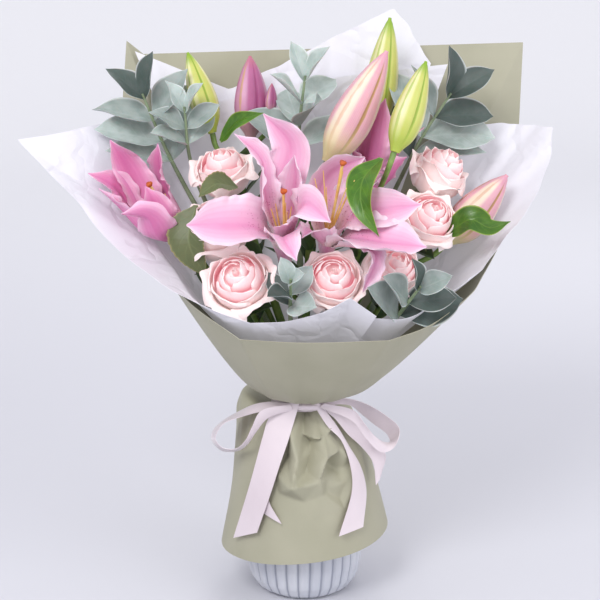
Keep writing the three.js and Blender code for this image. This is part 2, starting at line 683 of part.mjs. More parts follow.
function buildLily(lily) {
  const { name, foot, axis, tepals } = lily;
  const place = placement(point(...foot), point(...axis));
  const parts = [loft(turned(LILY_THROAT, THROAT_SIDES, place))];
  for (const tepal of tepals) parts.push(blade(tepalGrid(lily, tepal), PETAL_THICK));
  addNode(name, union(parts), COLOURS.lily);

  const seat = LILY_THROAT.at(-1)[0] + FIT_GAP;
  const { height, footR, topR } = THREAD_SEAT;
  const threads = [loft(turned([[seat, footR], [seat + height, topR]], THROAT_SIDES, place))];
  for (const kind of [FILAMENTS, STYLE]) threads.push(...lilyThreads(lily, kind, seat, place));
  addNode(name + "_stamens", union(threads), COLOURS.stamen);
}

// Buds: foot, tip and width
const BUDS = [
  {
    name: "bud_green_left", foot: [-83, 46, 419], tip: [-105, 60, 490], width: 25,
    colour: COLOURS.budGreen,
  },
  {
    name: "bud_pink_left", foot: [-49, 56, 414], tip: [-49, 68, 486], width: 31,
    colour: COLOURS.budPink,
  },
  {
    name: "bud_small", foot: [-31, 48, 437], tip: [-29, 54, 463], width: 11,
    colour: COLOURS.budPink,
  },
  {
    name: "bud_pink_tall", foot: [20, -14, 403], tip: [71, -8, 498], width: 36,
    colour: COLOURS.budPink,
  },
  {
    name: "bud_yellow_back", foot: [62, 54, 418], tip: [77, 60, 521], width: 30,
    colour: COLOURS.budGreen,
  },
  {
    name: "bud_green_right", foot: [77, -34, 415], tip: [104, -16, 490], width: 27,
    colour: COLOURS.budGreen,
  },
  {
    name: "bud_pink_right", foot: [128, 12, 326], tip: [181, 16, 386], width: 35,
    colour: COLOURS.budPink,
  },
];
const BUD_SHAPE = [0.3, 0.8, 1, 0.96, 0.78, 0.5, 0.12];
const BUD_TEPALS = 3;
const BUD_SIDES = 9;
const BUD_LOBE = 0.07; // how far the tepals stand out along their middles

function buildBud({ name, foot, tip, width, colour }) {
  const way = point(...tip).sub(point(...foot));
  const place = placement(point(...foot), way);
  const rings = BUD_SHAPE.map((swell, i) => {
    const z = (way.length() * i) / (BUD_SHAPE.length - 1);
    return Array.from({ length: BUD_SIDES }, (_, k) => {
      const a = (2 * Math.PI * k) / BUD_SIDES;
      const r = (width / 2) * swell * (1 + BUD_LOBE * Math.cos(BUD_TEPALS * a));
      return around(a, r, z).applyMatrix4(place);
    });
  });
  addNode(name, loft(rings), colour, 0.5);
}

// Lily stems: each carries its blooms and buds on pedicels that leave it at a share of its upper length.
const LILY_STEMS = [
  {
    name: "lily_stem_far_left", slot: 13, top: [-76, 12, 284], axis: [-0.55, 0.02, 0.8],
    carries: [["lily_left", 0.97]],
    leaves: [],
  },
  {
    name: "lily_stem_left", slot: 3, top: [-58, 52, 388], axis: [-0.1, 0.1, 0.95],
    carries: [["bud_green_left", 0.97], ["bud_pink_left", 0.99], ["bud_small", 0.98]],
    leaves: [[[-62, 30, 406], [0.85, -0.25, 0.5], [-0.4, -0.8, 0.5], 50, 15, 30, 0]],
  },
  {
    name: "lily_stem_centre", slot: 0, top: [8, -8, 352], axis: [0.1, -0.05, 1],
    carries: [["lily_centre", 0.5], ["bud_pink_tall", 0.98], ["bud_yellow_back", 0.96]],
    leaves: [],
  },
  {
    name: "lily_stem_right", slot: 1, top: [54, -6, 345], axis: [0.25, -0.05, 0.95],
    carries: [["lily_right", 0.5], ["lily_back", 0.96], ["bud_green_right", 0.98], ["bud_pink_right", 0.6]],
    leaves: [
      [[66, -42, 411], [-0.3, -0.75, -0.55], [-0.35, -0.8, 0.5], 74, 26, 15, 15],
      [[128, -18, 338], [0.85, -0.35, 0.42], [-0.2, -0.85, 0.45], 60, 28, 35, -15],
    ],
  },
];

// Where a pedicel ends, just short of the bloom or bud that it carries, and the way it points there.
function pedicelEnd(name) {
  const lily = LILIES.find((l) => l.name === name);
  const bud = BUDS.find((b) => b.name === name);
  const foot = point(...(lily ?? bud).foot);
  const way = lily ? point(...lily.axis).normalize() : point(...bud.tip).sub(foot).normalize();
  const below = lily ? -LILY_THROAT[0][0] : 0;
  return { end: foot.addScaledVector(way, -below - FIT_GAP), way };
}

function buildLilyStem({ name, slot, top, axis, carries, leaves }) {
  const head = point(...top);
  const way = point(...axis).normalize();
  const main = stemCurve(slot, head, way, LILY_STEM.lead);
  const parts = [stemSolid(slot, main, LILY_STEM)];
  for (const [load, at] of carries) {
    const { end, way: heading } = pedicelEnd(load);
    const start = main.getPointAt(at);
    const leaving = start.clone().addScaledVector(main.getTangentAt(at), PEDICEL.leaving).lerp(end, 0.1);
    const before = end.clone().addScaledVector(heading, -PEDICEL.lead);
    const path = new THREE.CatmullRomCurve3([start, leaving, before, end], false, "centripetal");
    parts.push(tube(path, PEDICEL.radii, PEDICEL.steps, STEM_SIDES));
  }
  for (const leaf of leaves) parts.push(leafBlade(leafSpec(leaf), LILY_LEAF));
  addNode(name, union(parts), COLOURS.stem);
}

// Twine and ribbon go round the stems in this many flats.
const BAND_SIDES = 24;

// Twine round the stems, three turns deep

function buildTwine() {
  const section = [
    [TWINE_IN_R, -TWINE_HALF],
    [TWINE_OUT_R, -TWINE_HALF],
    [TWINE_OUT_R, TWINE_HALF],
    [TWINE_IN_R, TWINE_HALF],
  ];
  const rings = Array.from({ length: BAND_SIDES }, (_, k) =>
    section.map(([r, z]) => around((2 * Math.PI * k) / BAND_SIDES, r, TIE_Z + z)));
  addNode("twine", loft(rings, true), COLOURS.twine);
}

// Wrapping paper: one sleeve, open at the top and gathered at the tie, with a skirt over the pot

// Points spread evenly along straight stretches between corners, or along a smooth curve through them.
function along(corners, count, smooth) {
  const places = corners.map((p) => point(...p));
  if (smooth) {
    const curve = new THREE.CatmullRomCurve3(places, false, "centripetal");
    return curve.getSpacedPoints(count).slice(0, -1);
  }
  const path = new THREE.CurvePath();
  for (let i = 0; i < places.length - 1; i++) path.add(new THREE.LineCurve3(places[i], places[i + 1]));
  return path.getSpacedPoints(count).slice(0, -1);
}

// The paper's rim, from its top right corner along the straight top of the back panel, then round in front.
const PAPER_TOP_RIGHT = [205, 115, 494];
const PAPER_TOP_LEFT = [-150, 106, 484];
const PAPER_LEFT_TIP = [-164, 97, 497];
const PAPER_LEFT_LOW = [-170, 88, 425];
const PAPER_FRONT_LEFT = [-53, -112, 271];
const PAPER_FRONT_RIGHT = [71, -108, 269];
const PAPER_RIGHT_LOW = [203, 108, 417];
const PAPER_LEFT_SIDE = [[-168, 68, 385], [-150, 10, 345], [-122, -45, 314], [-96, -85, 295]];
const PAPER_RIGHT_SIDE = [[106, -90, 277], [143, -52, 293], [156, -18, 298], [192, 70, 338]];
const PAPER_RIM = [
  ...along([PAPER_TOP_RIGHT, PAPER_TOP_LEFT], 9, false),
  ...along([PAPER_TOP_LEFT, PAPER_LEFT_TIP], 1, false),
  ...along([PAPER_LEFT_TIP, PAPER_LEFT_LOW], 2, false),
  ...along([PAPER_LEFT_LOW, ...PAPER_LEFT_SIDE, PAPER_FRONT_LEFT], 7, true),
  ...along([PAPER_FRONT_LEFT, [0, -118, 270], PAPER_FRONT_RIGHT], 4, true),
  ...along([PAPER_FRONT_RIGHT, ...PAPER_RIGHT_SIDE, PAPER_RIGHT_LOW], 8, true),
  ...along([PAPER_RIGHT_LOW, PAPER_TOP_RIGHT], 2, false),
];
const CONE_FOOT_Z = 197;
const CONE_FOOT_R = [39, 37, 35, 35, 36, 36, 38, 40]; // by direction, each 45 degrees from +X

// Where the cone's rings lie between its rim and its foot, and how it bellies out between them.
const CONE_SHARES = [0, 0.32, 0.64, 0.86];
const BELLY = { middle: 5, low: 4, sag: 0.6 };

// The gathered skirt, by direction: its shoulder under the tie, two rings below that, and its hem.
// The share is how much of the pleats' depth each ring has.
const SKIRT = [
  { share: 1, r: [42, 44, 50, 56, 55, 43, 34, 37], z: [170, 174, 181, 187, 187, 178, 169, 168] },
  { share: 0.7, r: [57, 58, 60, 62, 62, 57, 50, 53], z: [138, 138, 144, 150, 150, 145, 142, 140] },
  { share: 0, r: [67, 67, 66, 67, 67, 65, 64, 66], z: [104, 104, 104, 100, 98, 102, 108, 106] },
  { share: 0, r: [78, 76, 72, 74, 77, 76, 75, 76], z: [61, 64, 58, 50, 43, 46, 52, 57] },
];
const PLEATS = 7;
const PLEAT_DEPTH = 3;

// A column of the paper from its rim point, down its azimuth to the tie and on to the hem.
function paperColumn(rim) {
  const azimuth = Math.atan2(rim.y, rim.x);
  const foot = around(azimuth, compass(CONE_FOOT_R, azimuth), CONE_FOOT_Z);
  const column = CONE_SHARES.map((t) => {
    const belly = Math.sin(Math.PI * t) * BELLY.middle + Math.sin(Math.PI * t ** 3) * BELLY.low;
    return rim.clone().lerp(foot, t).add(around(azimuth, belly, -BELLY.sag * belly));
  });
  column.push(foot, around(azimuth, PAPER_R, WAIST_HIGH), around(azimuth, PAPER_R, WAIST_LOW));
  const fromFront = Math.cos(azimuth + Math.PI / 2);
  for (const { share, r, z } of SKIRT) {
    const pleat = Math.cos(PLEATS * 2 * azimuth) * PLEAT_DEPTH * Math.max(fromFront, 0) * share;
    column.push(around(azimuth, compass(r, azimuth) + pleat, compass(z, azimuth)));
  }
  return column;
}

const rowsOf = (columns) => columns[0].map((_, i) => columns.map((column) => column[i]));

function buildPaper() {
  const sleeve = rowsOf(PAPER_RIM.map(paperColumn));
  addNode("wrap_paper", sheet(sleeve, PAPER_THICK, true), COLOURS.paper, 0.8);
}

// The paper rim's point at an azimuth.
function paperRimAt(azimuth) {
  const turn = (a) => ((a % (2 * Math.PI)) + 2 * Math.PI) % (2 * Math.PI);
  for (let i = 0; i < PAPER_RIM.length; i++) {
    const [p, q] = [PAPER_RIM[i], PAPER_RIM[(i + 1) % PAPER_RIM.length]];
    const span = turn(Math.atan2(q.y, q.x) - Math.atan2(p.y, p.x));
    const into = turn(azimuth - Math.atan2(p.y, p.x));
    if (span < Math.PI && into <= span) return p.clone().lerp(q, into / span);
  }
  return PAPER_RIM[0].clone();
}

const RIM_INSET = 7; // how far inside the paper's rim the tissue bends
const TISSUE_BEND = 0.75; // where a column with room to spare has its bend

// Tissue lining: sheets that stand out of the paper.
// A column that would run outside the paper bends inside its rim.
function tissueColumn(rim, waistR) {
  const azimuth = Math.atan2(rim.y, rim.x);
  const waist = around(azimuth, waistR, WAIST_HIGH);
  const inside = paperRimAt(azimuth).sub(around(azimuth, RIM_INSET, -1));
  const straight = waist.clone().lerp(rim, (inside.z - WAIST_HIGH) / (rim.z - WAIST_HIGH));
  const fits = rim.z < inside.z || Math.hypot(straight.x, straight.y) < Math.hypot(inside.x, inside.y);
  const bend = fits ? waist.clone().lerp(rim, TISSUE_BEND) : inside;
  return [around(azimuth, waistR, TISSUE_FOOT_Z), waist, waist.clone().lerp(bend, 0.5), bend, rim];
}

// Each sheet's rim as stretches of corners, the steps along them and whether they are smooth.
const TISSUE_LEFT_TIP = [-247, -10, 421];
const TISSUE_LEFT_SIDE = [[-200, -34, 375], [-165, -54, 338], [-118, -82, 310], [-72, -106, 293]];
const TISSUE_FRONT_LEFT = [-45, -112, 285];
const TISSUE_FOLD = [15, -113, 294];
const TISSUE_RIGHT_SIDE = [154, -38, 312];
const TISSUE_RIGHT_TIP = [228, 52, 424];
const TISSUES = [
  {
    name: "tissue_left",
    waistR: TISSUE_R,
    stretches: [
      [[[135, 84, 478], [8, 84, 462], [-63, 83, 445], [-150, 66, 432], TISSUE_LEFT_TIP], 9, false],
      [[TISSUE_LEFT_TIP, ...TISSUE_LEFT_SIDE, TISSUE_FRONT_LEFT], 8, true],
      [[TISSUE_FRONT_LEFT, [-15, -114, 287], TISSUE_FOLD], 3, true],
      [[TISSUE_FOLD, [38, -110, 306], [60, -106, 289]], 2, false],
    ],
  },
  {
    name: "tissue_back",
    waistR: BACK_TISSUE_R,
    stretches: [[[[118, 98, 476], [84, 102, 527], [-70, 99, 452], [-156, 90, 488]], 9, false]],
  },
  {
    name: "tissue_right",
    waistR: TISSUE_R,
    stretches: [
      [[[58, -94, 284], [86, -94, 284], [130, -62, 301], TISSUE_RIGHT_SIDE], 5, true],
      [[TISSUE_RIGHT_SIDE, [188, -8, 344], [212, 20, 376], TISSUE_RIGHT_TIP], 4, true],
      [[TISSUE_RIGHT_TIP, [212, 70, 423], [184, 82, 422], [150, 85, 421]], 4, true],
    ],
  },
];

function buildTissue({ name, waistR, stretches }) {
  const rim = stretches.flatMap(([corners, count, smooth]) => along(corners, count, smooth));
  rim.push(point(...stretches.at(-1)[0].at(-1)));
  const columns = rim.map((p) => tissueColumn(p, waistR));
  addNode(name, sheet(rowsOf(columns), TISSUE_THICK), COLOURS.tissue, 0.5);
}

// Ribbon: a band over the paper at the tie, a small knot in front, two loops and four tails.
// Each strip is the two edges of the ribbon, from the knot outwards, and the steps along it.
const RIBBON_STRIPS = [
  {
    name: "tail_left",
    steps: 7,
    edges: [
      [[-20, -37, 190], [-31, -40, 178], [-37, -45, 160], [-43, -49, 138], [-50, -49, 112], [-64, -46, 64]],
      [[-4, -40, 191], [-9, -43, 174], [-14, -50, 159], [-21, -57, 140], [-29, -63, 116], [-42, -64, 77]],
    ],
  },
  {
    name: "tail_left_back",
    steps: 6,
    edges: [
      [[-16, -35, 188], [-36, -40, 159], [-41, -46, 136], [-41, -52, 112], [-36, -60, 94]],
      [[-4, -36, 188], [-18, -46, 157], [-27, -54, 132], [-32, -60, 109], [-20, -70, 88]],
    ],
  },
  {
    name: "tail_right",
    steps: 8,
    edges: [
      [[8, -39, 190], [21, -40, 169], [33, -40, 156], [41, -44, 135], [43, -54, 115], [31, -72, 77]],
      [[14, -38, 190], [30, -36, 167], [40, -38, 150], [51, -38, 130], [56, -43, 110], [53, -58, 80]],
    ],
  },
  {
    name: "tail_right_back",
    steps: 6,
    edges: [
      [[11, -36, 188], [27, -35, 175], [39, -35, 160], [51, -34, 148], [62, -35, 133], [65, -38, 112]],
      [[20, -34, 188], [41, -30, 177], [56, -29, 165], [67, -26, 149], [74, -26, 136], [70, -32, 120]],
    ],
  },
  {
    name: "loop_right",
    steps: 14,
    edges: [
      [
        [10, -38, 190], [37, -31, 192], [57, -24, 184], [75, -22, 172], [85, -26, 164], [86, -32, 159],
        [80, -40, 148], [69, -44, 146], [55, -46, 160], [43, -46, 176], [14, -41, 187],
      ],
      [
        [14, -34, 186], [40, -25, 184], [53, -18, 172], [64, -16, 162], [75, -18, 154], [78, -24, 149],
        [70, -38, 154], [61, -46, 164], [54, -48, 174], [44, -46, 186], [18, -41, 191],
      ],
    ],
  },
  {
    name: "loop_left",
    steps: 14,
    edges: [
      [
        [-8, -36, 190], [-30, -34, 190], [-45, -30, 186], [-62, -22, 175], [-74, -18, 166], [-83, -16, 156],
        [-84, -16, 147], [-76, -18, 138], [-62, -26, 140], [-50, -44, 154], [-43, -48, 166], [-32, -46, 179],
        [-10, -41, 185],
      ],
      [
        [-8, -40, 186], [-35, -42, 184], [-48, -42, 181], [-60, -44, 178], [-71, -43, 173], [-78, -42, 163],
        [-79, -42, 157], [-73, -43, 150], [-61, -46, 150], [-52, -52, 160], [-46, -54, 173], [-38, -50, 187],
        [-12, -41, 190],
      ],
    ],
  },
];
const KNOT_PLACE = [3, -36.5, 186.5];
const KNOT_HALF = [13, 6, 5]; // half its width, depth and height
const KNOT_STATIONS = [[-1, 0.55], [-0.6, 1], [0.6, 1], [1, 0.55]]; // along it, and how full it is there
const KNOT_SIDES = 8;
const BAND_Z = 184; // the middle of the band round the paper
const BAND_HALF = 5; // half its height

function ribbonGrid({ edges, steps }, columns) {
  const [left, right] = edges.map((edge) => {
    const places = edge.map((p) => point(...p));
    return new THREE.CatmullRomCurve3(places, false, "centripetal");
  });
  return Array.from({ length: steps + 1 }, (_, i) => {
    const [a, b] = [left.getPoint(i / steps), right.getPoint(i / steps)];
    return Array.from({ length: columns + 1 }, (__, j) => a.clone().lerp(b, j / columns));
  });
}

function buildRibbon() {
  const band = [-BAND_HALF, BAND_HALF].map((dz) => ringOf(RIBBON_R, BAND_Z + dz, BAND_SIDES));
  const [width, depth, height] = KNOT_HALF;
  const knot = KNOT_STATIONS.map(([share, swell]) =>
    Array.from({ length: KNOT_SIDES }, (_, k) => {
      const a = (2 * Math.PI * k) / KNOT_SIDES;
      const section = point(share * width, swell * depth * Math.cos(a), swell * height * Math.sin(a));
      return section.add(point(...KNOT_PLACE));
    }),
  );
  const strips = RIBBON_STRIPS.map((strip) => sheet(ribbonGrid(strip, 1), RIBBON_THICK));
  const bow = union([sheet(band, RIBBON_THICK, true), loft(knot), ...strips]);
  addNode("ribbon", bow, COLOURS.ribbon, 0.35);
}

BUDS.forEach(buildBud);
LILIES.forEach(buildLily);
ROSES.forEach(buildRose);
LILY_STEMS.forEach(buildLilyStem);
SPRAYS.forEach(buildSpray);
buildTwine();
buildPaper();
TISSUES.forEach(buildTissue);
buildRibbon();
buildPot();
buildWater(usedSlots);

export default group;
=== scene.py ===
"""A wrapped bouquet of pink lilies, roses and silver-leaved sprays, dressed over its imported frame."""

import logging
import math
import random
from dataclasses import dataclass, field, replace
from enum import Enum

import bpy
import numpy as np
from mathutils import Matrix, Vector
from mathutils.geometry import delaunay_2d_cdt


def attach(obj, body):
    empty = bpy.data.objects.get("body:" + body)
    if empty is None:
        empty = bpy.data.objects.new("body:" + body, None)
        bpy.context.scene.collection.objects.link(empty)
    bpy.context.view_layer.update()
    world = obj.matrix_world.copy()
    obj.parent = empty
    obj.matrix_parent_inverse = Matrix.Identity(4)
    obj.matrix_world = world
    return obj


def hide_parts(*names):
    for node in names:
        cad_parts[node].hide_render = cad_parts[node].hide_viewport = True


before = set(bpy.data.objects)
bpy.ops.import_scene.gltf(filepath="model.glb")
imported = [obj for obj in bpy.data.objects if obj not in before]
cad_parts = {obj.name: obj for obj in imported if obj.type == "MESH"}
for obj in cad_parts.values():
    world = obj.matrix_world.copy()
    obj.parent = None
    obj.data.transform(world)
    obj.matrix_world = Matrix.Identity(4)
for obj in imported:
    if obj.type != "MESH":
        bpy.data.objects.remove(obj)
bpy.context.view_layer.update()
LOG = logging.getLogger("bouquet")

MM = 0.001  # the shapes below are written in millimetres
SEED = 41

# Pot and stems, as in the solids
POT_FOOT_R = 39.0
POT_BELLY_R = 54.0
POT_RIM_R = 57.0
POT_HEIGHT = 112.0
POT_WALL = 4.5
POT_FLOOR = 6.0
FLUTES = 30
FLUTE_DEPTH = 2.2
FIT_GAP = 0.4
TIE_Z = 184.0
STEM_PITCH = 8.4
STEM_R = 4.0
SPREAD_BELOW = 1.35
SPREAD_ABOVE = 1.04
STRAIGHT_TOP = 162.0
TIE_CLEAR = 12.0

# Paper, tissue and ribbon, nested at the tie
TISSUE_R = 25.6
BACK_TISSUE_R = 27.0
PAPER_R = 28.5
RIBBON_R = 29.9
WAIST_LOW = 177.0
WAIST_HIGH = 190.0
PAPER_THICK = 0.5
TISSUE_THICK = 0.25
RIBBON_THICK = 0.5

# Petals, leaves and edges
LEAF_THICK = 0.5
SHARP_ANGLE = 62
GOLDEN_TURN = 137.5
UP = np.array([0, 0, 1.0])
EAST = np.array([1.0, 0, 0])

Point = tuple[float, float, float]
Colour = tuple[float, float, float, float]
Span = tuple[float, float]
Place = tuple[np.ndarray, np.ndarray]
Socket = bpy.types.NodeSocket
Node = bpy.types.Node
NodeTree = bpy.types.NodeTree
Material = bpy.types.Material


def hue(code: int) -> Colour:
    """Turns a 0xRRGGBB colour into linear light.

    Args:
        code: the colour as it looks on a screen.

    Returns:
        Linear red, green, blue and an alpha of 1.
    """
    parts = [((code >> shift) & 255) / 255 for shift in (16, 8, 0)]
    linear = [c / 12.92 if c <= 0.04045 else ((c + 0.055) / 1.055) ** 2.4 for c in parts]
    return (*linear, 1.0)


def profile(values: list[float] | tuple[float, ...], t: np.ndarray | float) -> np.ndarray:
    """Reads evenly spaced values as a smooth curve.

    Args:
        values: the values from the start of the curve to its end.
        t: where to read it, from 0 to 1.

    Returns:
        The curve's values at t.
    """
    known = np.asarray(values, float)
    last = len(known) - 1
    x = np.clip(t, 0, 1) * last
    i = np.minimum(np.floor(x).astype(int), last - 1)
    f = x - i
    before, here, after, beyond = (known[np.clip(i + step, 0, last)] for step in (-1, 0, 1, 2))
    return (
        here * (2 * f**3 - 3 * f**2 + 1)
        + (after - before) / 2 * (f**3 - 2 * f**2 + f)
        + after * (3 * f**2 - 2 * f**3)
        + (beyond - here) / 2 * (f**3 - f**2)
    )


def compass(values: tuple[float, ...], azimuth: np.ndarray | float) -> np.ndarray:
    """Reads eight values, one each 45 degrees from +X towards +Y, as a smooth closed curve.

    Args:
        values: the eight values.
        azimuth: the direction in radians.

    Returns:
        The value in that direction.
    """
    turn = np.mod(np.asarray(azimuth) / math.tau, 1)
    padded = [values[-1], *values, values[0], values[1]]
    return profile(padded, (1 + turn * len(values)) / (len(padded) - 1))


def around(azimuth: float, r: float, z: float) -> np.ndarray:
    """Gives the point at an azimuth, a radius and a height round the Z axis."""
    return np.array([r * math.cos(azimuth), r * math.sin(azimuth), z])


def ring_angles(sides: int) -> np.ndarray:
    """Gives evenly spaced angles of one full turn in radians."""
    return np.linspace(0, math.tau, sides, endpoint=False)


def turned(r: np.ndarray, z: np.ndarray, angle: np.ndarray) -> np.ndarray:
    """Gives points round the Z axis from radii, heights and angles, spread over one grid."""
    r, z, angle = np.broadcast_arrays(r, z, angle)
    return np.stack([r * np.cos(angle), r * np.sin(angle), z], axis=-1)


def stations(pairs: tuple[Span, ...]) -> np.ndarray:
    """Splits pairs of numbers into two columns, one for each number."""
    return np.asarray(pairs, float).T[..., None]


def unit(v: np.ndarray) -> np.ndarray:
    """Scales vectors in the last axis to length 1."""
    return v / np.maximum(np.linalg.norm(v, axis=-1, keepdims=True), 1e-12)


def turn_about(v: np.ndarray, axis: np.ndarray, angle: float) -> np.ndarray:
    """Turns a vector about a unit axis by an angle in radians."""
    across = np.cross(axis, v)
    return v * math.cos(angle) + across * math.sin(angle) + axis * np.dot(axis, v) * (1 - math.cos(angle))


def placement(origin: Point, axis: Point, roll: float = 0.0) -> Place:
    """Turns +Z to an axis after a roll about it.

    Args:
        origin: where the local origin goes.
        axis: where local +Z points.
        roll: the turn about +Z first, in degrees.

    Returns:
        The origin and the 3 by 3 turning matrix.
    """
    turn = Vector((0, 0, 1)).rotation_difference(Vector(axis).normalized()).to_matrix()
    turn = turn @ Matrix.Rotation(math.radians(roll), 3, "Z")
    return np.asarray(origin, float), np.array(turn)


def placed(points: np.ndarray, place: Place) -> np.ndarray:
    """Moves local points to a placement."""
    origin, turn = place
    return points @ turn.T + origin


class Route:
    """A smooth curve through points, read by its share of length."""

    HEADING_STEP = 0.004

    def __init__(self, points: list, smooth: bool = True, samples: int = 240) -> None:
        """Samples the curve.

        Args:
            points: what the curve runs through.
            smooth: False joins the points by straight lines.
            samples: how many pieces the sampled curve has.
        """
        self.points = np.asarray(points, float)
        self.smooth = smooth
        self.track = np.array([self.by_knots(t) for t in np.linspace(0, 1, samples + 1)])
        steps = np.linalg.norm(np.diff(self.track, axis=0), axis=1)
        self.reach = np.concatenate([[0], np.cumsum(steps)])
        self.length = float(self.reach[-1])

    def by_knots(self, t: float) -> np.ndarray:
        """Gives the point of the centripetal curve at a share of its knots.

        Args:
            t: the share, from 0 to 1.

        Returns:
            The point.
        """
        p = self.points
        x = t * (len(p) - 1)
        i = min(int(x), len(p) - 2)
        f = x - i
        b, c = p[i], p[i + 1]
        if not self.smooth:
            return b + (c - b) * f
        a = p[i - 1] if i > 0 else 2 * p[0] - p[1]
        d = p[i + 2] if i + 2 < len(p) else 2 * p[-1] - p[-2]
        gaps = [math.sqrt(max(np.linalg.norm(n - m), 1e-6)) for m, n in ((a, b), (b, c), (c, d))]
        t1 = ((b - a) / gaps[0] - (c - a) / (gaps[0] + gaps[1]) + (c - b) / gaps[1]) * gaps[1]
        t2 = ((c - b) / gaps[1] - (d - b) / (gaps[1] + gaps[2]) + (d - c) / gaps[2]) * gaps[1]
        return b + t1 * f + (3 * (c - b) - 2 * t1 - t2) * f**2 + (2 * (b - c) + t1 + t2) * f**3

    def at(self, share: float | np.ndarray) -> np.ndarray:
        """Gives the point at a share of the length, or the points at several."""
        where = share * self.length
        return np.stack([np.interp(where, self.reach, axis) for axis in self.track.T], axis=-1)

    def heading(self, share: float) -> np.ndarray:
        """Gives the unit direction at a share of the length."""
        step = self.HEADING_STEP
        return unit(self.at(min(share + step, 1)) - self.at(max(share - step, 0)))


def grid_normals(grid: np.ndarray, closed: bool) -> np.ndarray:
    """Gives the unit normals of a grid of points.

    Args:
        grid: rows by columns by 3.
        closed: True where the last column meets the first.

    Returns:
        Normals in the grid's shape.
    """
    along = np.gradient(grid, axis=0)
    if closed:
        across = (np.roll(grid, -1, axis=1) - np.roll(grid, 1, axis=1)) / 2
    else:
        across = np.gradient(grid, axis=1)
    return unit(np.cross(along, across))


